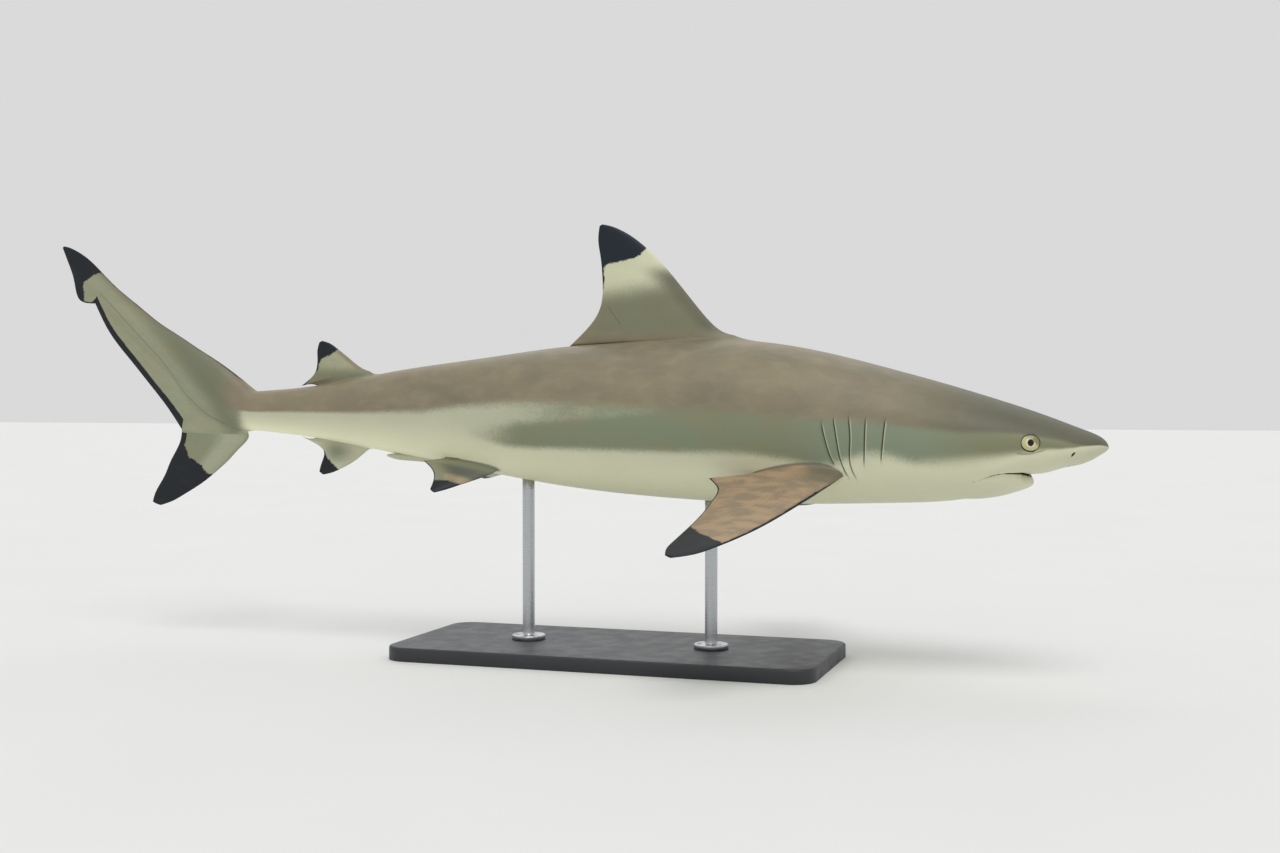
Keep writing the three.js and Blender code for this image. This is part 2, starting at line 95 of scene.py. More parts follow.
def mix(a, b, share):
    """a where share is 0 and b where it is 1."""
    return a + (b - a) * share


def smooth(share):
    """The cubic 3x^2 - 2x^3 with x held between 0 and 1."""
    x = np.clip(share, 0, 1)
    return x * x * (3 - 2 * x)


def ramp(value, start, length):
    """The smooth step that begins as value passes start and is done a length further on."""
    return smooth((value - start) / length)


def spline(knots, values):
    """The natural cubic spline through rows of values at rising knots, as a function."""
    x = np.asarray(knots, float)
    y = np.asarray(values, float).reshape(len(x), -1)
    step = np.diff(x)
    system = np.eye(len(x))
    pull = np.zeros_like(y)
    inner = np.arange(1, len(x) - 1)
    system[inner, inner - 1] = step[:-1]
    system[inner, inner] = 2 * (step[:-1] + step[1:])
    system[inner, inner + 1] = step[1:]
    slope = np.diff(y, axis=0) / step[:, None]
    pull[1:-1] = 6 * np.diff(slope, axis=0)
    bend = np.linalg.solve(system, pull)

    def curve(at):
        """Straight mix of both knots plus a cubic term for the bend at each of them."""
        at = np.asarray(at, float)
        i = np.clip(np.searchsorted(x, at) - 1, 0, len(x) - 2)
        width = step[i][..., None]
        b = (at - x[i])[..., None] / width
        a = 1 - b
        cubic = (a**3 - a) * bend[i] + (b**3 - b) * bend[i + 1]
        return a * y[i] + b * y[i + 1] + cubic * width**2 / 6

    return curve


body_curve = spline(np.sqrt(BODY[:, 0]), BODY[:, 1:])


def centreline(station):
    """How far the middle of the body lies to the left: BOW t (1 - t) - SWING t^3."""
    t = np.asarray(station) / LENGTH
    return BOW * t * (1 - t) - SWING * t**3


def section(station):
    """Half width, widest height, rise above and below it, and both squarenesses, per station."""
    top, bottom, half, widest, above, below = np.moveaxis(body_curve(np.sqrt(station)), -1, 0)
    middle = mix(bottom, top, widest)
    keep = 1 - ramp(station, *SQUARE_FADE)
    return half, middle, top - middle, middle - bottom, above * keep, below * keep


def skin_point(station, angle, grow=0.0):
    """A superellipse section: out sin(angle), up cos(angle), each pushed towards its corners."""
    station, angle = np.broadcast_arrays(np.asarray(station, float), np.asarray(angle, float))
    half, middle, rise, fall, above, below = section(station)
    up = np.cos(np.radians(angle))
    out = np.sin(np.radians(angle))
    square = np.where(up >= 0, above, below)
    height = np.where(up >= 0, rise, fall) + grow
    y = centreline(station) + (half + grow) * out * (1 + square * up**2)
    z = middle + height * up * (1 + square * out**2)
    return np.stack([SNOUT_X - station, y, z], -1)


def unit(vectors):
    """Vectors of length one."""
    return vectors / np.maximum(np.linalg.norm(vectors, axis=-1, keepdims=True), 1e-12)


def skin_normal(station, angle):
    """The outward direction: the cross product of the slopes along and around the body."""
    along = skin_point(station + 0.4, angle) - skin_point(station - 0.4, angle)
    around = skin_point(station, angle + 0.5) - skin_point(station, angle - 0.5)
    return unit(np.cross(around, along))


def girth(station):
    """Angles right round a section, twice over, and the distance round it to each."""
    turns = np.arange(-400.0, 601.0)
    steps = np.linalg.norm(np.diff(skin_point(station, turns), axis=0), axis=1)
    round_it = np.concatenate([[0], np.cumsum(steps)])
    return turns, round_it - round_it[400]


def skin_coordinates(spots):
    """Station, angle and height over the even skin of points near it, by repeated correction."""
    station = SNOUT_X - spots[..., 0]
    half, middle, rise, fall, above, below = section(np.maximum(station, 0))
    across = (spots[..., 1] - centreline(station)) / np.maximum(half, 1e-6)
    lift = spots[..., 2] - middle
    square = np.where(lift >= 0, above, below)
    lift = lift / np.where(lift >= 0, rise, fall)
    turn = np.arctan2(across, lift)
    for _ in range(8):
        wide = across / (1 + square * np.cos(turn) ** 2)
        tall = lift / (1 + square * np.sin(turn) ** 2)
        turn = np.arctan2(wide, tall)
    share = np.hypot(wide, tall)
    radius = np.linalg.norm(skin_point(station, np.degrees(turn)) - np.stack(
        [SNOUT_X - station, centreline(station), middle], -1), axis=-1)
    return station, np.degrees(turn), (share - 1) * radius


# The mouth: an arched slit under the head, shut at its corners and a little open in front. The
# jaw below it bulges down, and a soft pad ahead of it carries the underside of the snout. Every
# fade is given as where it starts and how long it is.
MOUTH_FRONT = 82.0
MOUTH_CORNER = 150.0
CORNER_ROUNDING = 4.0
MOUTH_HALF_WIDTH = 62.0
ARCH_POWER = 2.4
SAG = 12.5  # how many degrees the skin's columns turn down near the mouth's corner
SAG_ANGLE = 114.0
SAG_SPREAD_ABOVE = 9.0
SAG_SPREAD_BELOW = 20.0
SAG_IN = (112, 42)
SAG_OUT = (155, 60)
LIP_END = [(111, 180), (114, 165), (117, 138), (120, 126), (123, 114), (126, 180)]  # angle, station
LIP_LINE = [(60, 236), (76, 243.6), (84, 246.6), (91, 249), (100, 249.8), (114, 249.4), (136, 243.4),
            (150, 235), (162, 227.5), (180, 216)]
MOUTH_SHUT = 0.45
MOUTH_OPENING = 3.6
OPENING_POWER = 2.2
JAW_END = 165.0
JAW_DROP = 14.2
JAW_DROP_LENGTH = 75.0
JAW_FADE = (100, 20)
JAW_RIM = 0.5
CHIN_POWER = 0.6
MOUTH_DEPTH = 16.0
MOUTH_FADE = 24.0
CREASE_FADE = 14.0
LIP_ROLL_END = 104.0
LIP_ROLL_LENGTH = 20.0
SNOUT_PAD = 3.6
SNOUT_PAD_STATION = 68.0
SNOUT_PAD_SPREAD = 16.0
PAD_FADE = (96, 54)


def jaw_bulge(station, offset):
    """How far the jaw hangs below the even skin: a fade along it times a full, rounded rim."""
    share = np.clip((MOUTH_CORNER - station) / (MOUTH_CORNER - MOUTH_FRONT), 0, None)
    inside = 1 - share**ARCH_POWER - np.abs(offset / MOUTH_HALF_WIDTH) ** ARCH_POWER
    fade = np.clip((JAW_END - station) / JAW_DROP_LENGTH, 0, 1)
    rim = 1 - (1 - np.clip(inside / JAW_RIM, 0, 1)) ** 2
    return JAW_DROP * fade * rim**CHIN_POWER


def hide_point(station, angle):
    """The skin with the jaw's bulge and the snout's pad, a bell curve, hung under it.

    A bell curve, steep above and wide below, turns the angle down near the mouth's corner, so that
    the lips' line droops there.
    """
    turn = np.abs(angle)
    spread = np.where(turn < SAG_ANGLE, SAG_SPREAD_ABOVE, SAG_SPREAD_BELOW)
    near = ramp(station, *SAG_IN) * (1 - ramp(station, *SAG_OUT))
    angle = angle + np.sign(angle) * SAG * near * np.exp(-(((turn - SAG_ANGLE) / spread) ** 2))
    spots = skin_point(station, angle)
    turn = np.abs(angle)
    pad = SNOUT_PAD * np.exp(-(((station - SNOUT_PAD_STATION) / SNOUT_PAD_SPREAD) ** 2))
    bulge = jaw_bulge(station, spots[..., 1] - centreline(station))
    spots[..., 2] -= ramp(turn, *PAD_FADE) * pad + ramp(turn, *JAW_FADE) * bulge
    return spots


lip_line = spline(*np.array(LIP_LINE).T)


def mouth_gap(station):
    """Height of the open mouth: shut at the corner, growing as a power of the way forward."""
    ahead = np.clip((MOUTH_CORNER - station) / (MOUTH_CORNER - MOUTH_FRONT), 0, 1)
    return MOUTH_SHUT + MOUTH_OPENING * ahead**OPENING_POWER


def soft_least(a, b, width):
    """The smaller of two values, rounded where they meet."""
    return b - width * np.logaddexp(0, (b - a) / width)


def lip_station(angles, open_share, limit):
    """Where the hide first reaches the lip's line less a share of the gap, on a fine scale.

    Near the corner, where the hide runs along the line, the table of the lips' ends says where.
    """
    scale = np.arange(76.0, 178.0, 0.05)
    heights = hide_point(scale[None, :], angles[:, None])[..., 2]
    line = lip_line(scale)[:, 0] - open_share * mouth_gap(scale)
    under = heights < line[None, :]
    first = np.where(under.any(axis=1), under.argmax(axis=1), len(scale) - 1)
    found = np.where(under.any(axis=1), scale[first], np.inf)
    found = np.minimum(found, np.interp(angles, *np.array(LIP_END).T))
    return soft_least(found, limit, CORNER_ROUNDING)


# Gill slits: station and angle from the upper end of each slit to its lower.
GILL_SLITS = np.array([
    [[249.5, 72], [251, 84], [252.5, 95], [254, 105.5]],
    [[272.5, 74], [272.8, 86], [273.2, 98], [274, 109]],
    [[292.5, 74], [290, 90], [290.4, 107], [284, 121]],
    [[310.5, 76], [306, 91], [301.3, 106], [293.3, 120]],
    [[324.5, 80], [318.5, 94], [312, 105.5], [305.5, 113.5]],
])
GILL_RIM = [  # place behind the slit's front edge, slide, rise off the skin, crease as painted shade (below 0: a painted highlight on the flap's edge)
    (-1.7, 0.0, 0.75, -0.2),
    (-0.7, 0.0, 0.95, -0.6),
    (0.0, 0.0, 0.5, 0.15),
    (0.3, -0.5, -0.9, 0.75),
    (0.6, -0.6, -2.3, 0.9),
    (0.9, -0.1, -1.3, 0.75),
    (1.5, 0.1, -0.25, 0.3),
]
GILL_BETWEEN = [(0.06, -0.1), (0.25, 0.0), (0.45, 0.1), (0.65, 0.3), (0.82, 0.5), (0.95, 0.7)]

# Rings beside the lips, by how far each lies from the lip: ahead of the upper lip with its swell,
# roll into the mouth and rise; through the mouth with the share of the way, the edge it starts
# from, how deep and how high it goes; and behind the lower lip with its roll and rise.
UPPER_LIP_RINGS = ((6, 0.1, 0.4, 0.1), (4.2, 0.2, 1.2, 0.3), (2.8, 0.4, 2.2, 0.6), (1.5, 0.6, 3.4, 0.9),
                   (0.6, 0.5, 4.4, 1.2))
MOUTH_RINGS = ((0.1, 0, 0.9, 0.5), (0.25, 0, 6.0, 2.5), (0.4, 0, MOUTH_DEPTH, 3.0), (0.5, 0.5, 18.0, 0.5),
               (0.6, 1, MOUTH_DEPTH, -1.5), (0.75, 1, 6.0, -0.8), (0.9, 1, 1.0, -0.1))
LOWER_LIP_RINGS = ((0.5, 4.0, 1.1), (1.1, 2.4, 0.8), (1.9, 0.8, 0.5), (3, -0.6, 0.2), (4.2, -1.5, 0),
                   (5.6, -1.7, 0), (7.2, -1.3, 0), (9.5, -0.6, 0), (12.5, -0.1, 0))
LEAST_STEP = 0.9
CHEEK_STEP = 1.8
UPPER_ROLL = (0.2, 5.0, 1.6)  # the upper lip's own swell, roll and rise
LOWER_ROLL = (5.2, 1.2)
THROAT_MIDDLE = 140.0
SNOUT_ROWS = 58
SNOUT_CROWDING = 1.6
THROAT_ROWS = 28
BEFORE_GILLS = 14.0
BEHIND_GILLS_ROWS = 9
GILLS_END = 356.0
TRUNK_ROWS = 140
UP = np.array([0, 0, 1.0])

angles = 360.0 * np.arange(AROUND) / AROUND
away = np.abs((angles + 180) % 360 - 180)  # the angle from the top, the same on both sides
wrapped = (angles + 180) % 360 - 180

rows = []


def add_row(stations, shift=0.0, crease=0.0, mouth=0.0):
    """Keeps one ring of the body: stations, a shift in space, painted shade in a fold and inside the
    mouth.
    """
    shift = np.broadcast_to(shift, (AROUND, 3))
    rows.append([np.broadcast_to(stations, AROUND), shift,
                 np.broadcast_to(crease, AROUND), np.broadcast_to(mouth, AROUND)])


upper_lip = lip_station(away, 0.0, MOUTH_CORNER)
before_corner = smooth((MOUTH_CORNER - upper_lip) / 10)
lip_step = LEAST_STEP + CHEEK_STEP * ramp(upper_lip, 106, 10) * before_corner
lower_lip = np.maximum(lip_station(away, 1.0, MOUTH_CORNER + 1.6), upper_lip + lip_step)
inside = smooth((MOUTH_CORNER - upper_lip) / MOUTH_FADE)
lip_crease = smooth((MOUTH_CORNER - 0.6 - upper_lip) / CREASE_FADE)
front_lip = smooth((LIP_ROLL_END - upper_lip) / LIP_ROLL_LENGTH)
for share in np.linspace(0, 0.95, SNOUT_ROWS + 1)[1:]:
    add_row(upper_lip * share**SNOUT_CROWDING)
upper_normal = skin_normal(upper_lip, wrapped)
throat = np.array([SNOUT_X - THROAT_MIDDLE, centreline(THROAT_MIDDLE), 0.0])
inward = throat - hide_point(upper_lip, wrapped)
inward[:, 2] = 0
inward = unit(inward)
rolled = inward * front_lip[:, None]
rise_in_front = UP * front_lip[:, None]


def upper_shift(swell, roll, rise):
    """The upper lip's shift: out along the skin, into the mouth and up."""
    return upper_normal * (swell * lip_crease)[:, None] + rolled * roll + rise_in_front * rise


for gap, *shape in UPPER_LIP_RINGS:
    add_row(upper_lip - gap, upper_shift(*shape))
upper_roll = upper_shift(*UPPER_ROLL)
lower_roll = rolled * LOWER_ROLL[0] + rise_in_front * LOWER_ROLL[1]
# The lips' line carries painted shade in its crease, and the mouth's rings carry it inside.
add_row(upper_lip, upper_roll, crease=0.35 * lip_crease)

upper_edge = hide_point(upper_lip, wrapped) + upper_roll
lower_edge = hide_point(lower_lip, wrapped) + lower_roll
for share, edge, deep, rise in MOUTH_RINGS:
    here = mix(upper_lip, lower_lip, share)
    target = mix(upper_edge, lower_edge, edge) + inward * deep + UP * rise
    shift = (target - hide_point(here, wrapped)) * inside[:, None]
    # Painted shade inside the mouth over its red brown lining, lighter on the shallow rings by the lips.
    painted_shade = (0.35 if deep < 2 else 1.0) * inside
    add_row(here, shift, crease=0.45 * lip_crease * (1 - inside), mouth=painted_shade)
add_row(lower_lip, lower_roll, crease=0.3 * lip_crease)
for gap, roll, rise in LOWER_LIP_RINGS:
    add_row(lower_lip + gap, rolled * roll + rise_in_front * rise)

slit_lines = []
for slit in GILL_SLITS:
    line = spline(slit[:, 1], slit[:, :1])
    slit_lines.append(line(np.clip(away, slit[0, 1], slit[-1, 1]))[:, 0])
behind_jaw = lower_lip + LOWER_LIP_RINGS[-1][0]
first_front = slit_lines[0] - BEFORE_GILLS
for share in np.linspace(0, 1, THROAT_ROWS + 1)[1:]:
    add_row(mix(behind_jaw, first_front, share))
before = first_front
for number, line in enumerate(slit_lines):
    slit = GILL_SLITS[number]
    open_here = smooth((away - slit[0, 1] + 1.5) / 5) * smooth((slit[-1, 1] + 1.5 - away) / 6)
    normal = skin_normal(line, wrapped)
    start = GILL_RIM[0][0]
    for share, rise in GILL_BETWEEN[(3 if number == 0 else 0):]:
        dip = rise if rise > 0 or number else 0
        add_row(mix(before, line + start, share), normal * (dip * open_here)[:, None])
    for place, slide, rise, crease in GILL_RIM:
        move = normal * rise + np.array([-slide, 0, 0])
        add_row(line + place, move * open_here[:, None], crease=crease * open_here)
    before = line + GILL_RIM[-1][0]
for share in np.linspace(0, 1, BEHIND_GILLS_ROWS + 1)[1:]:
    add_row(mix(before, GILLS_END, share))
for station in np.linspace(GILLS_END, STALK_END, TRUNK_ROWS + 1)[1:]:
    add_row(station)

grid_station, grid_shift, grid_crease_shade, grid_mouth = map(np.array, zip(*rows))
grid_angle = np.broadcast_to(wrapped, grid_station.shape)
grid_spots = hide_point(grid_station, grid_angle) + grid_shift

# The tail fin grows out of the end of the tail stalk. Each row runs from the upper edge to the
# rear edge: their station and height, half the thickness over the backbone, the backbone's place
# and its muscle's reach as shares of the row, the muscle's fullness, and half the web.
UPPER_LOBE = np.array([
    [1135.3, 345.6, 1135.3, 290.8, 21, 0.5, 0.5, 0.5, 0],
    [1150, 354.8, 1160, 287.5, 18.5, 0.46, 0.5, 0.62, 0.6],
    [1177, 374.5, 1195, 286, 14.5, 0.4, 0.46, 0.85, 2],
    [1201, 390, 1228, 287.5, 11, 0.35, 0.4, 1.05, 2.4],
    [1225, 404, 1254, 291.5, 8.5, 0.31, 0.34, 1.2, 2.4],
    [1256, 423, 1276, 322, 6.8, 0.29, 0.31, 1.3, 2.1],
    [1288, 442, 1306, 357, 5.5, 0.3, 0.3, 1.4, 1.9],
    [1319, 465, 1337, 392, 4.5, 0.32, 0.32, 1.4, 1.7],
    [1351, 489, 1369, 430.5, 3.4, 0.36, 0.36, 1.4, 1.5],
    [1376, 511.5, 1391, 471, 2.4, 0.42, 0.4, 1.4, 1.3],
    [1398, 532, 1417.5, 478, 1.4, 0.42, 0.4, 1.4, 1.3],
    [1420, 546.5, 1426, 508, 0.7, 0.45, 0.4, 1.4, 1.2],
    [1434, 552.5, 1435, 532, 0.3, 0.5, 0.4, 1.4, 1.1],
    [1440, 553.7, 1442.5, 550.5, 0, 0.5, 0.4, 1.4, 1],
])
FORK = 4
NOTCH = 9
LOWER_LOBE = np.array([
    [1150, 288, 1253.5, 291, 5.4],
    [1149, 281.5, 1254.6, 283.5, 5.6],
    [1163, 266, 1257, 273.5, 5],
    [1179, 250.3, 1263.5, 261, 4.3],
    [1200, 232.6, 1272, 246.5, 3.5],
    [1226, 213.8, 1281, 227, 2.7],
    [1250, 200, 1289.5, 213.3, 2],
    [1271, 189.2, 1297.5, 199, 1.4],
    [1287, 184, 1300.5, 189, 1.1],
])
LOBE_START = 1150.0
LOBE_BACK = 1253.9
FRONT_LEAN = (8, 34)  # how far the lower lobe's front moves back over this height
BACK_LEAN = (21.5, 27)
HINGE_HEIGHT = 286.5  # the line on which the lobes meet, and its slope along the body
HINGE_STATION = 1135.0
HINGE_SLOPE = 0.0378
HINGE_BLEND = 40.0
HINGE_ROWS = 3
OPEN_ROWS = 30
FORK_ROWS = 26
NOTCH_ROWS = 18
MUSCLE_END = 0.92
TRAILING_HALF = 0.6
EDGE_SHARE = 0.985


def foil(share):
    """A rounded fin section from 0 at the front, thickest a third of the way back."""
    return 2.6 * np.sqrt(share) * (1 - share)


def rounded_end(share, start):
    """1 up to start, then down a quarter ellipse to 0."""
    return np.sqrt(np.clip(1 - np.clip((share - start) / (1 - start), 0, 1) ** 2, 0, 1))


def fin_half(share, thick):
    """Half a fin's thickness: its foil and a thin trailing edge, closed round at the back."""
    return (thick * foil(share) + TRAILING_HALF * share) * rounded_end(share, EDGE_SHARE)


def run_lengths(leading, trailing):
    """Distance from row to row along the middles of the rows."""
    middles = (leading + trailing) / 2
    return np.concatenate([[0], np.cumsum(np.linalg.norm(np.diff(middles, axis=0), axis=1))])


stalk_stations = np.array([1060.0, 1100.0])
stalk_top = skin_point(stalk_stations, 0.0)[:, 2]
stalk_bottom = skin_point(stalk_stations, 180.0)[:, 2]
lobe_lead = np.vstack([np.stack([stalk_stations, stalk_top], 1), UPPER_LOBE[:, 0:2]])
lobe_trail = np.vstack([np.stack([stalk_stations, stalk_bottom], 1), UPPER_LOBE[:, 2:4]])
lobe_run = run_lengths(lobe_lead, lobe_trail)
lobe_run -= lobe_run[2]
fork_run = lobe_run[2 + FORK]
notch_run = lobe_run[2 + NOTCH]
lead_curve = spline(lobe_run, lobe_lead)
trail_curves = [
    spline(lobe_run[:3 + FORK], lobe_trail[:3 + FORK]),
    spline(lobe_run[2 + FORK:3 + NOTCH], lobe_trail[2 + FORK:3 + NOTCH]),
    spline(lobe_run[2 + NOTCH:], lobe_trail[2 + NOTCH:]),
]
lobe_make = spline(lobe_run[2:], UPPER_LOBE[:, 4:])
lower_run = run_lengths(LOWER_LOBE[:, 0:2], LOWER_LOBE[:, 2:4])
lower_curve = spline(lower_run, LOWER_LOBE)


def lobe_edges(run):
    """Both edges of the upper lobe, with its corners at the fork and the notch."""
    run = np.asarray(run, float)
    trail = np.where(
        (run < fork_run)[..., None], trail_curves[0](run),
        np.where((run < notch_run)[..., None], trail_curves[1](run), trail_curves[2](run)),
    )
    return lead_curve(run), trail


def upper_half(run, share, station, height):
    """Half the tail's thickness: backbone muscle and web, joined to the lower lobe's foil."""
    muscle, spine, reach, fullness, web = np.moveaxis(lobe_make(run), -1, 0)
    bump = np.clip(1 - ((share - spine) / reach) ** 2, 0, 1) ** fullness
    bump = bump * rounded_end(1 - share, MUSCLE_END) * rounded_end(share, MUSCLE_END)
    own = np.clip(muscle, 0, None) * bump + np.clip(web, 0, None) * 2 * np.sqrt(share * (1 - share))
    over = height - (HINGE_HEIGHT + (station - HINGE_STATION) * HINGE_SLOPE)
    front = LOBE_START + FRONT_LEAN[0] * over / FRONT_LEAN[1]
    back = LOBE_BACK - BACK_LEAN[0] * over / BACK_LEAN[1]
    place = np.clip((station - front) / np.maximum(back - front, 1), 0, 1)
    lower = fin_half(place, LOWER_LOBE[0, 4]) * (1 - smooth(over / HINGE_BLEND)) * ramp(over, -60, 10)
    return (own**4 + lower**4) ** 0.25


run_scale = np.linspace(0, fork_run, 2000)
trail_scale = trail_curves[0](run_scale)[:, 0]
evened = (1 - np.cos(np.linspace(0, np.pi, OPEN_ROWS + 1))) / 2
open_stations = mix(LOBE_START, trail_scale[-1], evened)
open_runs = np.interp(open_stations, trail_scale, run_scale)
open_runs[-1] = fork_run
lobe_runs = np.concatenate([
    np.linspace(0, open_runs[0], HINGE_ROWS + 2)[1:-1],
    open_runs,
    np.linspace(fork_run, notch_run, FORK_ROWS + 1)[1:],
    np.linspace(notch_run, lobe_run[-1], NOTCH_ROWS + 1)[1:],
])
first_open = len(grid_station) + HINGE_ROWS
last_open = first_open + OPEN_ROWS
column_share = (1 - np.cos(np.radians(away))) / 2
column_side = np.sign(np.round(np.sin(np.radians(angles)), 9))
lead_spots, trail_spots = lobe_edges(lobe_runs)
lobe_flat = mix(lead_spots[:, None], trail_spots[:, None], column_share[None, :, None])
lobe_half = upper_half(lobe_runs[:, None], column_share, lobe_flat[..., 0], lobe_flat[..., 1])


def on_middle(station, height, thickness):
    """A point of a fin that stands on the body's middle plane."""
    return np.stack([SNOUT_X - station, centreline(station) + thickness, height], -1)


lobe_spots = on_middle(lobe_flat[..., 0], lobe_flat[..., 1], lobe_half * column_side)

# What the skin is made of so far, one array per step: points, the tags that its material reads,
# and faces. Four tags are pigments: brown, olive, a warm brown that also holds painted patches of
# light on the fins' upper sides, and a dusky grey that also serves as painted shade; pale is how
# white the ground is; tip and margin are distances in millimetres inside the black marks and line
# is one from a thin dark line; crease is painted shade in a fold, slit or hollow, or a painted
# highlight on a fold's edge below 0, and the mouth's tag is painted shade inside the mouth; blade
# is 1 on the fins, where ray and span count across and along the rays.
TAGS = ("brown", "olive", "warm", "dusky", "pale", "tip", "margin", "line", "crease", "mouth",
        "blade", "ray", "span")
MARKS = ("tip", "margin", "line")
OUTSIDE = -30.0
spots = []
tags = []
faces = []
spot_count = 0


def add_spots(points, **given):
    """Keeps points with their tags and gives back their numbers, in the same layout."""
    global spot_count
    shape = points.shape[:-1]
    spots.append(points.reshape(-1, 3))
    table = np.zeros((len(spots[-1]), len(TAGS)))
    for name in MARKS:
        table[:, TAGS.index(name)] = OUTSIDE
    for name, value in given.items():
        table[:, TAGS.index(name)] = np.broadcast_to(value, shape).reshape(-1)
    tags.append(table)
    numbers = spot_count + np.arange(len(table)).reshape(shape)
    spot_count += len(table)
    return numbers


def add_faces(*corners):
    """Keeps faces given as one array of point numbers per corner."""
    faces.append(np.stack([np.asarray(c).reshape(-1) for c in corners], 1))


def ring_quads(rings):
    """Quads between closed rings of as many point numbers each, in order."""
    after = np.roll(rings, -1, axis=1)
    return np.stack([rings[:-1], after[:-1], after[1:], rings[1:]], -1).reshape(-1, 4)


def fan(ring, hub):
    """Triangles that close a ring on one point."""
    add_faces(ring, np.roll(ring, -1), np.full(len(ring), hub))


# Countershading of the body, by station: the angles at which the brown of the back ends, where
# the grey olive band along the flank starts and where it ends on the pale belly; how many degrees
# wide the soft ends of the brown and of the band are; and how strong the haze is between them.
BROWN_END = [(0, 79.5), (20, 80), (34, 78), (50, 73), (74, 72.5), (101, 69.5), (127, 70), (164, 74),
             (209, 74.5), (256, 75.5), (327, 77.5), (430, 78), (535, 77.6), (623, 76.9),
             (717, 78), (786, 80.4), (825, 83.6), (865, 88), (969, 90.8), (1075, 90.2), (1150, 92.6)]
OLIVE_START = [(0, 60), (480, 66), (535, 80.2), (622, 86.7), (717, 95.8), (796, 106.5), (840, 112)]
OLIVE_END = [(0, 82), (9, 82.6), (28, 84), (52, 93.5), (84, 97), (118, 98), (158, 99), (186, 101.6),
             (215, 104), (244, 99.5), (273, 99), (300, 106), (330, 111), (375, 106.5), (424, 104.5),
             (487, 106.3), (579, 108.2), (671, 112), (738, 116), (796, 112), (840, 112)]
BROWN_SOFT = [(0, 4), (20, 8), (45, 18), (85, 12), (600, 12), (700, 17), (860, 15), (960, 11),
              (1150, 11)]
OLIVE_SOFT = [(0, 4), (30, 7), (60, 16), (110, 22), (220, 20), (330, 13), (480, 10), (840, 10)]
HAZE = [(420, 0), (490, 0.75), (650, 0.66), (745, 0.2), (850, 0.1), (900, 0)]


def by_station(table, station):
    """A value read from a table of station and value, with straight lines between."""
    knots, values = np.array(table).T
    return np.interp(station, knots, values)


def body_tags(station, angle):
    """The body's pigments: smooth steps, in degrees, across the lines of the tables above."""
    turn = np.abs(angle)

    def up_to(end, soft):
        """1 above the end's line and 0 below it, through a smooth step that is soft wide."""
        return 1 - smooth((turn - by_station(end, station)) / by_station(soft, station) + 0.5)

    brown = up_to(BROWN_END, BROWN_SOFT)
    end = up_to(OLIVE_END, OLIVE_SOFT)
    start = smooth((turn - by_station(OLIVE_START, station)) / 18 + 0.7)
    fade = 1 - ramp(station, 700, 130)
    haze = by_station(HAZE, station) * (1 - ramp(turn, 84, 18))
    ground = mix(0.15, 0.42, smooth(station / 70))
    pale = mix(ground, ramp(turn, 88, 62), ramp(station, 130, 350))
    return {"brown": brown, "olive": np.maximum(np.clip(start * end, 0, 1) * fade, haze), "pale": pale}


def far_from(points, starts, ends):
    """Distances from points to straight pieces, one more axis for the pieces."""
    along = ends - starts
    gap = points[..., None, :] - starts
    share = np.clip((gap * along).sum(-1) / (along**2).sum(-1), 0, 1)
    return np.linalg.norm(gap - share[..., None] * along, axis=-1)


def side_of(points, line):
    """Signed distance to a line of straight pieces, positive on its left."""
    line = np.array(line, float)
    start, along = line[:-1], np.diff(line, axis=0)
    far = far_from(points, start, line[1:])
    nearest = far.argmin(-1)[..., None]
    gap = points[..., None, :] - start
    turn = along[:, 0] * gap[..., 1] - along[:, 1] * gap[..., 0]
    sign = np.sign(np.take_along_axis(turn, nearest, -1))[..., 0]
    return np.take_along_axis(far, nearest, -1)[..., 0] * np.where(sign == 0, 1, sign)


def line_tag(points, line):
    """Signed distance to a thin line, scaled up towards the line's ends so that it tapers there."""
    line = np.array(line, float)
    first, last = unit(line[1] - line[0]), unit(line[-1] - line[-2])
    within = np.minimum(((points - line[0]) * first).sum(-1), ((line[-1] - points) * last).sum(-1))
    return side_of(points, line) * (1 + 14 * (1 - smooth(within / 12)))


# Marks of the tail fin, as station and height: the edges of its black tips, its thin dark line,
# and, as height and station, the rear edge of its dusky front over the muscle, partly painted shade.
UPPER_TIP = [(1360, 517), (1381.6, 514.5), (1391, 512), (1399, 506), (1407.5, 500.7),
             (1409, 493.6), (1407.7, 485), (1409, 470)]
LOWER_TIP = [(1262, 275), (1250, 270), (1244, 262.4), (1241.3, 252.5), (1232, 248.4),
             (1221, 241.4), (1214.7, 231.7), (1208.4, 229), (1195, 225)]
TAIL_LINE = [(1388, 492), (1349.4, 455.8), (1318, 424.4), (1290.5, 398), (1269.7, 373.5),
             (1248.6, 346), (1225, 323.5), (1209.4, 312.5), (1188.6, 302.6), (1172, 296)]
RAYS_WIDE = 90
TAIL_ZONE = [(270, 1165), (328, 1194), (356, 1222), (385, 1248), (413, 1274), (433, 1293),
             (455, 1314), (475, 1342), (560, 1440)]
BAND_UPPER = 11.0
BAND_WIDER = 4.0
BAND_LOWER = 9.5
BAND_END = (1391, 2.0)  # past this station the band is this wide
FRONT_LINE = 1.6

knot = np.arange(len(TAIL_LINE))
tail_line = spline(knot, TAIL_LINE)(np.linspace(0, knot[-1], 46))


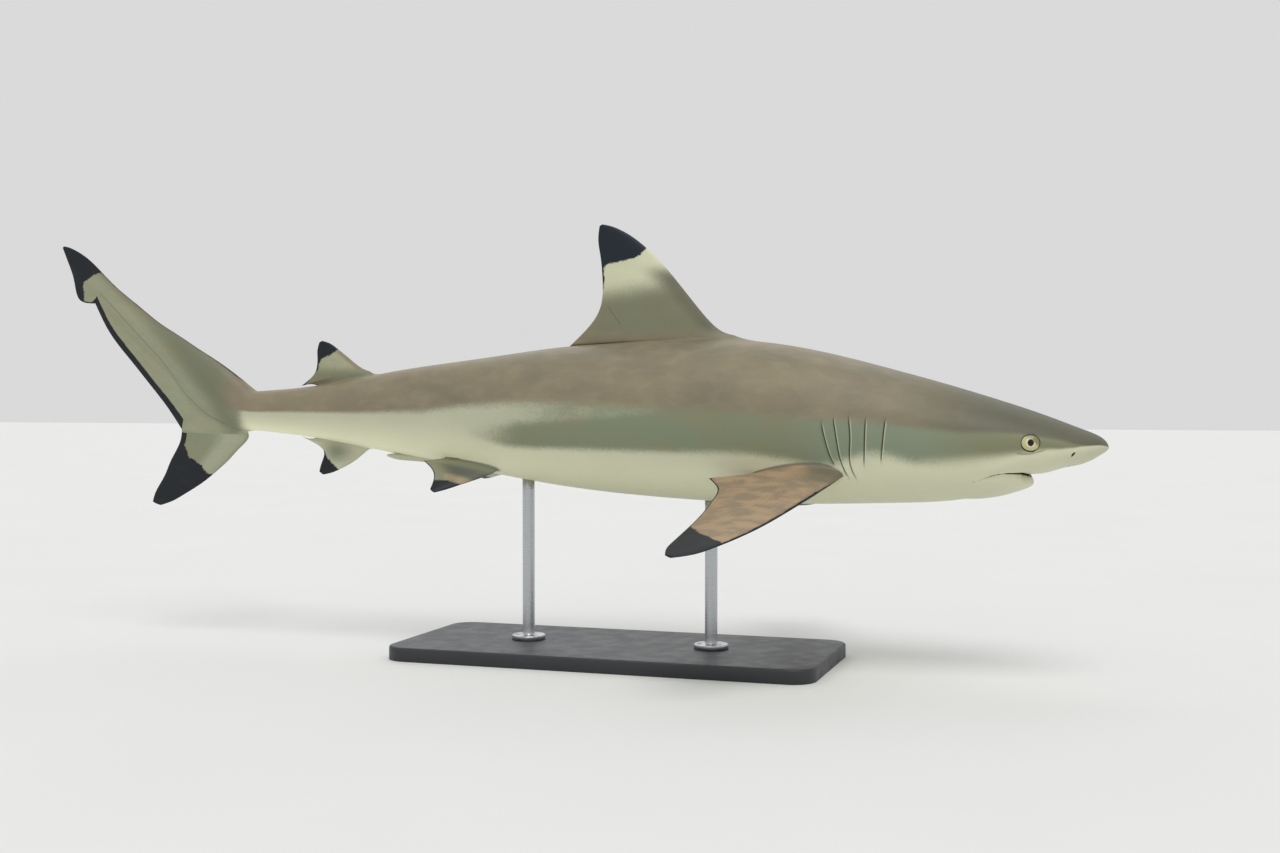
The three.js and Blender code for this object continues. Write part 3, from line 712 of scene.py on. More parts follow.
def tail_tags(flat, run, share, span):
    """Tail pigments: pale web, dusky front partly painted shade, black tips, rear band and broken front
    line.
    """
    rear = (1 - share) * span
    upper_black = side_of(flat, UPPER_TIP)
    lower_black = side_of(flat, LOWER_TIP)
    tip = np.where(flat[..., 1] > 400, upper_black, lower_black)
    band = BAND_UPPER + BAND_WIDER * smooth((360 - flat[..., 1]) / 60)
    band = np.where(flat[..., 0] > BAND_END[0], BAND_END[1], band)
    front_line = FRONT_LINE * ramp(run, 20, 20) - 0.7 - share * span
    margin = np.maximum(np.where(run < fork_run, OUTSIDE, band - rear), front_line)
    root = 1 - ramp(flat[..., 0], 1160, 34)
    front = (1 - smooth(share * span / 12)) * 0.7
    brown = np.maximum(root * (1 - ramp(share, 0.45, 0.25)), front)
    ahead_of_line = by_station(TAIL_ZONE, flat[..., 1]) - flat[..., 0]
    zone = smooth(ahead_of_line / 44 + 0.5) * (1 - 0.75 * ramp(flat[..., 1], 430, 80))
    return {"brown": brown, "olive": 0.68 + 0.32 * zone, "dusky": 0.42 * zone * (1 - root),
            "pale": 0.2, "tip": tip, "margin": margin, "line": line_tag(flat, tail_line),
            "blade": smooth(run / 60), "ray": share * RAYS_WIDE, "span": run}


body_numbers = add_spots(grid_spots, crease=grid_crease_shade, mouth=grid_mouth,
                         **body_tags(grid_station, grid_angle))
lobe_span = np.linalg.norm(trail_spots - lead_spots, axis=1)[:, None]
lobe_tags = tail_tags(lobe_flat, lobe_runs[:, None], column_share[None, :], lobe_span)
stalk_tags = body_tags(np.full(AROUND, STALK_END), away)
blend_in = smooth(lobe_runs / 30)[:, None]
for name in ("brown", "olive", "pale"):
    lobe_tags[name] = mix(stalk_tags[name][None, :], lobe_tags[name], blend_in)
lobe_numbers = add_spots(lobe_spots, **lobe_tags)
grid_numbers = np.vstack([body_numbers, lobe_numbers])
quad_kept = np.ones((len(grid_numbers) - 1, AROUND), bool)

snout = add_spots(skin_point(0.0, 0.0)[None], **body_tags(np.zeros(1), np.zeros(1)))[0]
fan(grid_numbers[0], snout)


def close_tip(ring, ring_spots, reach, given, steps=(0.35, 0.62, 0.82, 0.95)):
    """Rounds a fin's end: rings that shrink as sqrt(1 - f^2) while they move out, then a point."""
    middle = ring_spots.mean(axis=0)
    last = [ring]
    for share in steps:
        shrunk = middle + (ring_spots - middle) * math.sqrt(1 - share**2) + reach * share
        last.append(add_spots(shrunk, **given))
    faces.append(ring_quads(np.array(last)))
    hub = add_spots((middle + reach)[None], **{k: np.ravel(v)[:1] for k, v in given.items()})[0]
    fan(last[-1], hub)


def last_row(given, shape):
    """The tags of a lobe's last row."""
    return {name: np.broadcast_to(value, shape)[-1] for name, value in given.items()}


close_tip(grid_numbers[-1], lobe_spots[-1], np.array([-1.2, 0, 0.6]),
          last_row(lobe_tags, lobe_half.shape))

# The lower lobe hangs from the open rear edge of the upper one, column for row.
LOWER_ROWS = 34
HALFWAY = AROUND // 2
quad_kept[first_open:last_open, HALFWAY - 1:HALFWAY + 1] = False
inner_rows = np.arange(first_open + 1, last_open)
lower_share = np.concatenate([[0], (open_stations[1:-1] - LOBE_START) / np.ptp(open_stations), [1]])
lower_share = np.concatenate([lower_share, lower_share[-2:0:-1]])
lower_side = np.concatenate([[0], np.ones(OPEN_ROWS - 1), [0], -np.ones(OPEN_ROWS - 1)])
lower_runs = np.linspace(0, lower_run[-1], LOWER_ROWS + 1)[1:]
made = lower_curve(lower_runs)
lower_flat = mix(made[:, None, 0:2], made[:, None, 2:4], lower_share[None, :, None])
lower_thick = fin_half(lower_share[None, :], made[:, 4][:, None])
lower_spots = on_middle(lower_flat[..., 0], lower_flat[..., 1], lower_thick * lower_side)
lower_span = np.linalg.norm(made[:, 2:4] - made[:, 0:2], axis=1)[:, None]
lower_tags = {
    "brown": 0.4 * (1 - smooth(lower_share * lower_span / 7)),
    "olive": 0.55 + 0.3 * ramp(lower_share, 0.25, 0.3),
    "pale": 0.2,
    "tip": side_of(lower_flat, LOWER_TIP),
    "margin": BAND_LOWER - (1 - lower_share) * lower_span,
    "blade": 1.0,
    "ray": RAYS_WIDE * lower_share,
    "span": lower_runs[:, None],
}
lower_numbers = add_spots(lower_spots, **lower_tags)
hinge = np.concatenate([
    [grid_numbers[first_open, HALFWAY]],
    grid_numbers[inner_rows, HALFWAY - 1],
    [grid_numbers[last_open, HALFWAY]],
    grid_numbers[inner_rows[::-1], HALFWAY + 1],
])
faces.append(ring_quads(np.vstack([hinge[None], lower_numbers])))
close_tip(lower_numbers[-1], lower_spots[-1], np.array([-0.4, 0, -1.1]),
          last_row(lower_tags, lower_thick.shape))
for row, inner in ((first_open, first_open + 1), (last_open, last_open - 1)):
    for column in (HALFWAY - 1, HALFWAY + 1):
        add_faces([grid_numbers[row, column]], [grid_numbers[row, HALFWAY]],
                  [grid_numbers[inner, column]])


def crossings(points, starts, ends):
    """True where a line to the right of a point crosses the given edges an odd number of times."""
    x, y = points[:, 0, None], points[:, 1, None]
    over = (starts[:, 1] > y) != (ends[:, 1] > y)
    height = np.where(ends[:, 1] == starts[:, 1], 1, ends[:, 1] - starts[:, 1])
    cross = starts[:, 0] + (y - starts[:, 1]) / height * (ends[:, 0] - starts[:, 0])
    return (over & (cross > x)).sum(1) % 2 == 1


def stitch(stations, turns, ring, margin):
    """Cuts the body's quads near a closed ring on the skin, and fills the gap with triangles.

    The ring and the quads' rim are drawn on the unrolled skin, station against angle, and a
    constrained Delaunay net fills the strip between them.
    """
    centre_angle = turns.mean()
    centre_station = stations.mean()
    unrolled = (grid_angle - centre_angle + 180) % 360 - 180
    round_turns, round_it = girth(centre_station)
    flat = np.stack([grid_station, np.interp(centre_angle + unrolled, round_turns, round_it)], -1)
    loop = np.stack([stations, np.interp(turns, round_turns, round_it)], -1)
    low, high = loop.min(0) - margin - 12, loop.max(0) + margin + 12
    near_box = np.all((flat > low) & (flat < high), axis=-1)
    candidates = np.argwhere(near_box)
    points = flat[near_box]
    after = np.roll(loop, -1, axis=0)
    near = (far_from(points, loop, after).min(1) < margin) | crossings(points, loop, after)
    near_grid = np.zeros(grid_station.shape, bool)
    near_grid[tuple(candidates[near].T)] = True
    right = np.roll(near_grid, -1, axis=1)
    removed = near_grid[:-1] | near_grid[1:] | right[:-1] | right[1:]
    removed &= quad_kept[:len(removed)]
    quad_kept[:len(removed)] &= ~removed
    i, j = np.nonzero(removed)
    k = (j + 1) % AROUND
    corners = np.stack([i * AROUND + j, i * AROUND + k, (i + 1) * AROUND + k, (i + 1) * AROUND + j], 1)
    edges = np.sort(np.stack([corners, np.roll(corners, -1, axis=1)], -1).reshape(-1, 2), axis=1)
    edges, count = np.unique(edges, axis=0, return_counts=True)
    rim = edges[count == 1]
    dropped = near_grid.reshape(-1)
    used = np.unique(corners)
    used = used[~dropped[used]]
    place = {number: index for index, number in enumerate(used.tolist())}
    flat_all = np.concatenate([flat.reshape(-1, 2)[used], loop])
    numbers = np.concatenate([grid_numbers[:len(grid_station)].reshape(-1)[used], ring])
    ring_at = len(used) + np.arange(len(ring))
    rim_pairs = [(place[a], place[b]) for a, b in rim.tolist()]
    ring_pairs = list(zip(ring_at.tolist(), np.roll(ring_at, -1).tolist()))
    net = delaunay_2d_cdt([tuple(p) for p in flat_all.tolist()], rim_pairs + ring_pairs, [], 0, 1e-7)
    if len(net[0]) != len(flat_all):
        raise ValueError(f"a ring near station {centre_station:.0f} crosses the body's grid")
    order = np.array([first[0] for first in net[3]])
    triangles = order[np.array(net[2])]
    middles = flat_all[triangles].mean(axis=1)
    pairs = np.array(rim_pairs + ring_pairs)
    kept = crossings(middles, flat_all[pairs[:, 0]], flat_all[pairs[:, 1]])
    add_faces(*numbers[triangles[kept]].T)


# Each fin is a table of rows from its root, inside the body, to its tip: the leading edge's two
# coordinates, the trailing edge's two, and half the thickness. The third row ends at the free
# rear tip. A middle fin's coordinates are station and height.
FIRST_DORSAL = np.array([
    [425, 396, 608, 396, 9],
    [447, 413.5, 645, 404.8, 8.6],
    [473, 422.5, 676, 403.1, 8],
    [500, 449.5, 650, 427.5, 7],
    [540, 498, 631.5, 459, 5.6],
    [575, 533, 630, 490, 4],
    [603, 552, 633.5, 524, 2.8],
    [622, 559.5, 635.5, 548, 1.7],
    [628.5, 560.8, 634, 558, 1.1],
])
SECOND_DORSAL = np.array([
    [950, 358, 1032, 346, 4.6],
    [962, 371.3, 1050, 354.8, 4.3],
    [973, 375.3, 1067.5, 352.6, 4],
    [984, 382, 1050, 366, 3.5],
    [997, 392, 1043.5, 380, 2.8],
    [1012, 403.2, 1042.7, 393, 2.1],
    [1026, 411.8, 1042.2, 404, 1.5],
    [1034.5, 414.2, 1040, 411, 1.1],
])
ANAL = np.array([
    [958, 276, 1032, 290, 4.6],
    [967, 265.5, 1050, 280, 4.2],
    [973.5, 260, 1066, 282, 3.9],
    [984, 252, 1051, 275.5, 3.4],
    [997, 244.2, 1036, 266.5, 2.8],
    [1010, 238, 1033.5, 256, 2.2],
    [1023, 233, 1038, 244, 1.6],
    [1033.5, 230.7, 1040.3, 235.5, 1.1],
])
# A paired fin's coordinates run back along the body and out from its root.
PECTORAL = np.array([
    [-2, -12, 84, -12, 12.5],
    [3.5, 10, 125, 7, 11.5],
    [10, 29, 161, 16, 10],
    [22, 60, 143.5, 44, 7.8],
    [40.5, 106, 139, 82, 6.2],
    [59, 149, 140, 122, 5],
    [80, 187, 145, 165, 3.8],
    [104, 221, 151.5, 205, 2.7],
    [125, 240, 153, 229, 1.8],
    [140, 246.5, 150.5, 240, 1.2],
])
PELVIC = np.array([
    [-3, -12, 64, -12, 5.2],
    [6, 6, 86, 2, 4.8],
    [13.5, 14.2, 105, 10.7, 4.3],
    [27, 26.3, 91, 19.3, 3.6],
    [42, 39, 81, 30.5, 2.8],
    [56.5, 51, 76.5, 44, 1.9],
    [66.5, 58, 75, 54.2, 1.2],
])
COLUMNS = 26
FREE_TIP = 2
LOW_ROWS = 9
HIGH_ROWS = 39
FILLET_ROWS = 7
REAR_SHADOW = 0.6


def on_side(root, droop, pitch, side):
    """Places a paired fin's coordinates: back along its chord, out along its span, and up."""
    turn, dip = math.radians(pitch), math.radians(droop)
    back = np.array([-math.cos(turn), 0, math.sin(turn)])
    out = np.array([0, math.cos(dip), -math.sin(dip)])
    out = unit(out - (out @ back) * back)
    up = np.cross(out, back)

    def place(a, b, thickness):
        """The root, plus each coordinate times its direction, bent with the centreline."""
        spot = np.array([SNOUT_X - root[0], root[1], root[2]])
        spot = spot + back * a[..., None] + out * b[..., None] + up * thickness[..., None]
        y = centreline(SNOUT_X - spot[..., 0]) + side * spot[..., 1]
        return np.stack([spot[..., 0], y, spot[..., 2]], -1)

    return place


def grow_fin(table, place, pigments, foot, height, reach, margin=4.2, root_shade=(0.76, 0.9, 1.0)):
    """A fin that grows out of the body.

    Each column keeps one share of the rows from the leading to the trailing edge. It is followed
    from the root until it leaves the body. A quadratic Bezier curve whose control point is that
    crease makes the fillet, from a foot on the body to a place up the blade. foot and height give
    the fillet's size at the front, the sides and the rear. crevice says from which share of the
    root on the fold beside the free rear tip is painted with shade, how dark above, and its share below.
    """
    lead, trail = table[:, 0:2], table[:, 2:4]
    run = run_lengths(lead, trail)
    lead_line = spline(run, lead)
    chord = np.linalg.norm(trail[1] - lead[1])
    inner = spline(run[:FREE_TIP + 1], trail[:FREE_TIP + 1])
    outer = spline(run[FREE_TIP:], trail[FREE_TIP:])
    thick_line = spline(run, table[:, 4])
    share = (1 - np.cos(np.pi * np.arange(COLUMNS + 1) / COLUMNS)) / 2
    share = np.concatenate([share, share[-2:0:-1]])
    side = np.concatenate([[0], np.ones(COLUMNS - 1), [0], -np.ones(COLUMNS - 1)])

    def blade(at):
        """One closed ring of the blade: points, flat coordinates, distances to rear and front."""
        at = np.asarray(at, float)
        rear = np.where((at < run[FREE_TIP])[..., None], inner(at), outer(at))
        flat = mix(lead_line(at), rear, share[..., None])
        half = fin_half(share, thick_line(at)[..., 0])
        span = np.linalg.norm(rear - lead_line(at), axis=-1)
        return place(flat[..., 0], flat[..., 1], half * side), flat, (1 - share) * span, share * span

    scale = np.linspace(0, run[FREE_TIP] + 12, 500)
    paths = np.stack([blade(np.full(len(share), at))[0] for at in scale], 1)
    height_over = skin_coordinates(paths)[2]
    below = height_over < 0
    last = len(scale) - 2 - below[:, -2::-1].argmax(axis=1)
    column = np.arange(len(share))
    low, high = height_over[column, last], height_over[column, last + 1]
    root = mix(scale[last], scale[last + 1], low / (low - high))
    lengths = np.concatenate([np.zeros((len(share), 1)), np.cumsum(
        np.linalg.norm(np.diff(paths, axis=1), axis=-1), axis=1)], axis=1)
    crease = blade(root)[0]

    def by_share(sizes):
        """A size per column: the rear's, plus a root for the sides, plus a power for the front."""
        front, middle, rear = sizes
        return rear + (middle - rear) * np.sqrt(1 - share) + (front - middle) * (1 - share) ** 4

    up_blade = np.array([
        np.interp(np.interp(r, scale, line) + h, line, scale)
        for r, h, line in zip(root, by_share(height), lengths)
    ])
    up_blade = np.minimum(up_blade, run[FREE_TIP] - 1.0)
    station, turn, _ = skin_coordinates(crease)
    centre = np.degrees(np.arctan2(np.sin(np.radians(turn)).mean(), np.cos(np.radians(turn)).mean()))
    turn = (turn - centre + 180) % 360 - 180 + centre
    round_turns, round_it = girth(station.mean())
    loop = np.stack([station, np.interp(turn, round_turns, round_it)], -1)
    tangent = unit(np.roll(loop, -1, axis=0) - np.roll(loop, 1, axis=0))
    outward = np.stack([tangent[:, 1], -tangent[:, 0]], -1)
    area = (loop[:, 0] * np.roll(loop[:, 1], -1) - loop[:, 1] * np.roll(loop[:, 0], -1)).sum()
    loop = loop + outward * (np.sign(area) * by_share(foot))[:, None]
    foot_station, foot_turn = loop[:, 0], np.interp(loop[:, 1], round_it, round_turns)
    foot_spots = hide_point(foot_station, foot_turn)
    foot_tags = body_tags(foot_station, foot_turn)
    top_spots, top_flat, top_rear, top_front = blade(up_blade)
    top_tags = pigments(top_flat, top_rear, top_front, side)

    def free_tip_shadow(at):
        """A dark line of painted shadow down the rear edge below the free tip."""
        return REAR_SHADOW * ramp(share, 0.955, 0.03) * smooth((run[FREE_TIP] + 1 - at) / 3)

    def between(f):
        """The tags of one ring of the fillet, from the body's at f = 0 to the blade's at f = 1."""
        blend = smooth(f / 0.6)
        # Painted shade in the fold where the fin's root meets the body beside the free rear tip.
        fold = root_shade[1] * smooth((share - root_shade[0]) / 0.08) * np.where(side < 0, root_shade[2], 1.0)
        fold = fold * smooth(f / 0.14) * (1 - ramp(f, 0.3, 0.25))
        given = {name: mix(foot_tags.get(name, 0.0), value, blend) for name, value in top_tags.items()}
        for name in MARKS:
            given[name] = np.where(f > 0.45, top_tags.get(name, OUTSIDE), OUTSIDE)
        given["blade"] = blend
        given["ray"], given["span"] = share * chord, up_blade
        given["crease"] = np.maximum(free_tip_shadow(up_blade) * blend, fold)
        return given

    ring = add_spots(foot_spots, **foot_tags)
    rings = [ring]
    for f in np.linspace(0, 1, FILLET_ROWS + 1)[1:]:
        bend = (1 - f) ** 2 * foot_spots + 2 * f * (1 - f) * crease + f**2 * top_spots
        rings.append(add_spots(bend, **between(f)))
    reached = np.concatenate([
        mix(up_blade[None, :], run[FREE_TIP], np.linspace(0, 1, LOW_ROWS + 1)[1:, None]),
        np.broadcast_to(np.linspace(run[FREE_TIP], run[-1], HIGH_ROWS + 1)[1:, None],
                        (HIGH_ROWS, len(share))),
    ])
    for at in reached:
        ring_spots, flat, rear, front = blade(at)
        given = pigments(flat, rear, front, side)
        given.update(blade=1.0, ray=share * chord, span=at, crease=free_tip_shadow(at))
        rings.append(add_spots(ring_spots, **given))
    faces.append(ring_quads(np.array(rings)))
    close_tip(rings[-1], ring_spots, np.array(reach), given)
    stitch(foot_station, foot_turn, ring, margin)


# Marks of the fins, in the same coordinates as their rows: the edges of the black tips, the thin
# fold of the first dorsal fin, drawn as a dark line of painted shade, and the inner edge of the
# pectoral fin, along which a thin line of painted shadow runs.
DORSAL_TIP = [(560, 541), (566, 533), (570.9, 526.9), (579, 518.8), (587, 515), (599, 513),
              (613, 510.7), (622.5, 509.6), (628, 503), (626.6, 493), (628, 485), (629.4, 476),
              (634, 470)]
SECOND_TIP = [(1006, 406), (1011.7, 401.6), (1022, 395), (1036, 389.5), (1040.5, 382.6),
              (1040.6, 375.8), (1048, 368)]
ANAL_TIP = [(1042, 268), (1032, 263), (1027.5, 253.4), (1020, 246.6), (1012.4, 240), (1006, 232)]
PECTORAL_TIP = [(150, 158), (139, 168), (127, 186), (117, 193), (108, 201), (97, 206), (84, 212)]
PELVIC_TIP = [(90, 44), (74, 39), (59, 37), (48, 37.5), (41, 37.5), (30, 38)]
DORSAL_FOLD = [(627, 462), (619.8, 451.4), (606.3, 434.1), (596, 424)]
PECTORAL_INNER = [(96, -7), (125, 7), (143, 12.4), (161, 16)]


def dorsal_pigments(flat, rear, front, side):
    """Pale band under a black tip with painted blue reflection; painted shade on the olive below and
    brown leading edge.
    """
    height = flat[..., 1]
    low = 1 - smooth((height - 450 - 0.12 * (614 - flat[..., 0])) / 40)
    base = 1 - ramp(height, 412, 16)
    edge = (1 - ramp(front, 1, 34)) * (1 - ramp(height, 488, 24))
    return {"brown": np.maximum.reduce([base * 0.9, edge * 0.8, 0.4 * low]), "olive": 0.25 + 0.7 * low,
            "dusky": np.maximum(0.65 * edge, 0.2 * low) * (1 - base), "pale": 0.5,
            "warm": 0.25 * (1 - smooth(rear / 22)) * low,
            "tip": side_of(flat, DORSAL_TIP), "line": line_tag(flat, DORSAL_FOLD)}


def second_dorsal_pigments(flat, rear, front, side):
    """Pale web under a black tip; brown at the base and down the leading edge."""
    height = flat[..., 1]
    base = 1 - ramp(height, 360, 8)
    edge = (1 - ramp(front, 1, 9)) * (1 - ramp(height, 398, 8))
    low = 1 - ramp(height, 362, 20)
    return {"brown": np.maximum(base, edge) * 0.8, "olive": 0.62 + 0.38 * low,
            "dusky": 0.3 * low * (1 - base), "pale": 0.4,
            "tip": side_of(flat, SECOND_TIP), "margin": 0.9 - rear}


def anal_pigments(flat, rear, front, side):
    """Pale, with a grey olive flush in the middle and a black tip."""
    flush = 0.8 * np.exp(-(((flat[..., 0] - 1012) / 22) ** 2) - ((flat[..., 1] - 262) / 16) ** 2)
    return {"brown": 0, "olive": 0.8 * flush + 0.15, "pale": 0.3, "tip": side_of(flat, ANAL_TIP)}


def on_top(side):
    """1 on a paired fin's upper side, 0 below and most of 1 on its edges."""
    return np.where(side > 0, 1.0, np.where(side < 0, 0.0, 0.8))


def pectoral_pigments(flat, rear, front, side):
    """Warm brown with painted light above, painted shade at the shoulder, pale below, a black tip and
    thin dark edges.
    """
    out = flat[..., 1]
    upper = on_top(side)
    tip = -side_of(flat, PECTORAL_TIP)
    # The thin dark lines along the leading and inner edges are painted shadow; the rear edge is black.
    lead = 1.5 * ramp(out, 5, 70) - front - 0.15
    inner = 1.7 - np.abs(side_of(flat, PECTORAL_INNER))
    edge = np.maximum.reduce([lead, 1.2 + 0.8 * ramp(out, 15, 40) - rear, inner])
    shoulder_shade = (1 - ramp(out, 12, 45)) * (1 - ramp(front, 16, 40))
    return {"brown": upper * (1 - ramp(out, 20, 60)), "olive": 0.2 * (1 - upper),
            "dusky": 0.55 * upper * shoulder_shade, "pale": 0.5, "warm": upper * (1 - 0.6 * shoulder_shade),
            "tip": tip, "margin": edge}


def pelvic_pigments(flat, rear, front, side):
    """Painted shade over grey olive above, a warm patch of painted light by the black tip; below pale,
    black at the very tip.
    """
    out = flat[..., 1]
    upper = on_top(side)
    tip = -side_of(flat, PELVIC_TIP)
    lit_wedge = smooth((tip + 15) / 8) * ramp(rear, 12, 10)
    deep = ramp(out, 3, 14) * ramp(rear, 6, 34)
    return {"brown": 0.15 * upper, "olive": 0.15 + 0.8 * upper,
            "dusky": upper * deep * (1 - lit_wedge), "pale": 0.3,
            "warm": 0.9 * upper * lit_wedge, "tip": tip - 9 * (1 - upper),
            "margin": np.where(out > 8, 1.6 - rear - 9 * (1 - upper), OUTSIDE)}


grow_fin(FIRST_DORSAL, on_middle, dorsal_pigments, (26, 8, 1.5), (17, 7, 1.0), (-0.5, 0, 0.9))
grow_fin(SECOND_DORSAL, on_middle, second_dorsal_pigments, (12, 5, 1.2), (8, 4, 0.8), (-0.5, 0, 0.8))
grow_fin(ANAL, on_middle, anal_pigments, (10, 4.5, 1.2), (7, 4, 0.8), (-0.5, 0, -0.8))
for side, pectoral_droop, pelvic_droop in ((1, 15, 31), (-1, 18.5, 44)):
    grow_fin(PECTORAL, on_side((300, 75.6, 243.8), pectoral_droop, 0, side), pectoral_pigments,
             (2.5, 8, 2.0), (5, 9, 1.2), (-0.6, side * 0.9, -0.4), 1.8, (0.06, 0.6, 0.0))
    grow_fin(PELVIC, on_side((760, 32.5, 242), pelvic_droop, 10, side), pelvic_pigments,
             (7, 5, 1.2), (5, 4, 0.8), (-0.5, side * 0.7, -0.6), root_shade=(0.66, 0.9, 0.4))

# Eye sockets, nostrils and a small notch under the snout: oval rings on the skin that rise in a
# lid or flap and then dip.
EYE_STATION = 84.7
EYE_ANGLE = 83.2
EYE_RIM = (11.0, 9.8)
EYE_RINGS = [  # share of the rim, lift off the skin
    (2.15, 0), (1.95, 0), (1.8, 0), (1.66, 0.05), (1.54, 0.05), (1.44, 0.1), (1.36, 0.15),
    (1.29, 0.25), (1.23, 0.35), (1.17, 0.5), (1.12, 0.65), (1.07, 0.75), (1.03, 0.65), (1.0, 0.3),
    (0.985, -0.4), (0.965, -1.4), (0.8, -3.5), (0.45, -4.0),
]
LID_FOLD = (12.6, 19.0, 1.0)  # how far below the eye's middle, half as long, half as wide
LID_FOLD_DEPTH = 0.6
LID_FOLD_SAG = 4.2
LID_FOLD_SHADE = 0.55
NOSTRIL = (38.2, 107.3)
NOSTRIL_RIM = (4.0, 1.5)
NOSTRIL_TURN = 48.0
NOSTRIL_RINGS = [(2.3, 0), (1.9, 0.05), (1.55, 0.2), (1.3, 0.4), (1.12, 0.4), (1.0, 0.1), (0.9, -1.0),
                 (0.78, -2.6), (0.55, -4.2), (0.25, -4.8)]
NOSTRIL_FLAP = 1.5
FLAP_WIDTH = 0.95  # in radians round the oval
NOSE_NOTCH = (43.5, 151)
NOSE_NOTCH_RIM = (2.6, 1.1)
NOSE_NOTCH_TURN = 60.0


def skin_pit(centre, rim, turn, profile, segments, side, margin, fold=None, flap=0.0):
    """Oval rings about a point of the skin, each a share of the rim and lifted off the skin.

    A flap, in millimetres, lifts the lower end of the oval and narrows the opening there.
    """
    station, angle = centre
    step = skin_point(station + 0.5, angle) - skin_point(station - 0.5, angle)
    stretch = np.linalg.norm(step)
    round_turns, round_it = girth(station)
    middle = np.interp(angle, round_turns, round_it)
    phase = 2 * np.pi * np.arange(segments) / segments
    tilt = math.radians(turn)
    rings = []
    for share, lift in profile:
        long, short = rim[0] * share * np.cos(phase), rim[1] * share * np.sin(phase)
        along = long * math.cos(tilt) - short * math.sin(tilt)
        down = long * math.sin(tilt) + short * math.cos(tilt)
        stations = station + along / stretch
        turns = side * np.interp(middle + down, round_it, round_turns)
        # Sunken rings, the pit's floor and the lid's fold get painted shade, less of it at the flap's
        # end.
        painted_shade = smooth((0.25 - lift) / 0.8) * (1.0 if share <= 1.01 else 0.0)
        crease = np.full(segments, painted_shade)
        height = np.full(segments, float(lift))
        low_end = np.exp(-((((phase + np.pi) % (2 * np.pi) - np.pi) / FLAP_WIDTH) ** 2))
        height += flap * low_end * (max(lift, 0) / 0.4 if share > 0.95 else 1.0)
        crease *= 1 - 0.7 * low_end * (flap > 0)
        if fold and share > 1.02:
            low, half, wide = fold
            line = low - LID_FOLD_SAG * (along / half) ** 2
            deep = np.exp(-(((down - line) / wide) ** 2)) * smooth((half - np.abs(along)) / 6)
            deep *= ramp(share, 1.06, 0.14)
            height -= LID_FOLD_DEPTH * deep
            crease = LID_FOLD_SHADE * deep
        spots_here = hide_point(stations, turns) + skin_normal(stations, turns) * height[:, None]
        rings.append(add_spots(spots_here, crease=crease, **body_tags(stations, turns)))
        if len(rings) == 1:
            outer = (stations, turns)
    faces.append(ring_quads(np.array(rings)))
    hub = add_spots(spots_here.mean(axis=0)[None], crease=1.0)[0]
    fan(rings[-1], hub)
    stitch(*outer, rings[0], margin)


for side in (1, -1):
    skin_pit((EYE_STATION, EYE_ANGLE), EYE_RIM, 0, EYE_RINGS, 72, side, 3.0, LID_FOLD)
    skin_pit(NOSTRIL, NOSTRIL_RIM, NOSTRIL_TURN, NOSTRIL_RINGS, 36, side, 2.2, flap=NOSTRIL_FLAP)
    skin_pit(NOSE_NOTCH, NOSE_NOTCH_RIM, NOSE_NOTCH_TURN, NOSTRIL_RINGS, 24, side, 1.6)

# Claspers: a pair of rolled rods that leave the belly between the pelvic fins. Each row is a
# station, the distance from the middle, the height and the radius.
CLASPER = np.array([[800, 15, 253, 5], [850, 14.5, 253.3, 4.6], [900, 12, 256, 4.2],
                    [926, 10.5, 258, 3], [933, 10, 258.5, 1.2]])
clasper_line = spline(CLASPER[:, 0], CLASPER[:, 1:])
CLASPER_AROUND = 18
CLASPER_ROLL = (0.35 * np.pi, 0.25)  # where the seam of the roll lies, painted dark as shade in its groove, and its width
clasper_station = np.concatenate([np.linspace(800, 920, 26), [924, 928, 931, 933]])
out, height, radius = np.moveaxis(clasper_line(clasper_station), -1, 0)
turn = 2 * np.pi * np.arange(CLASPER_AROUND) / CLASPER_AROUND
for side in (1, -1):
    rod = np.stack(np.broadcast_arrays(
        (SNOUT_X - clasper_station)[:, None],
        centreline(clasper_station)[:, None] + side * (out[:, None] + radius[:, None] * np.cos(turn)),
        height[:, None] + radius[:, None] * np.sin(turn),
    ), -1)
    roll = np.exp(-(((turn - CLASPER_ROLL[0]) / CLASPER_ROLL[1]) ** 2))
    seam_shade = 0.5 * roll * ramp(clasper_station[:, None], 860, 30)
    numbers = add_spots(rod, olive=0.25, pale=0.3, crease=seam_shade)
    faces.append(ring_quads(numbers))
    ends = add_spots(rod[[0, -1]].mean(axis=1))
    fan(numbers[0], ends[0])
    fan(numbers[-1], ends[1])

# The grid's own quads, less those that a fin, an eye or a nostril took.
i, j = np.nonzero(quad_kept)
k = (j + 1) % AROUND
add_faces(grid_numbers[i, j], grid_numbers[i, k], grid_numbers[i + 1, k], grid_numbers[i + 1, j])


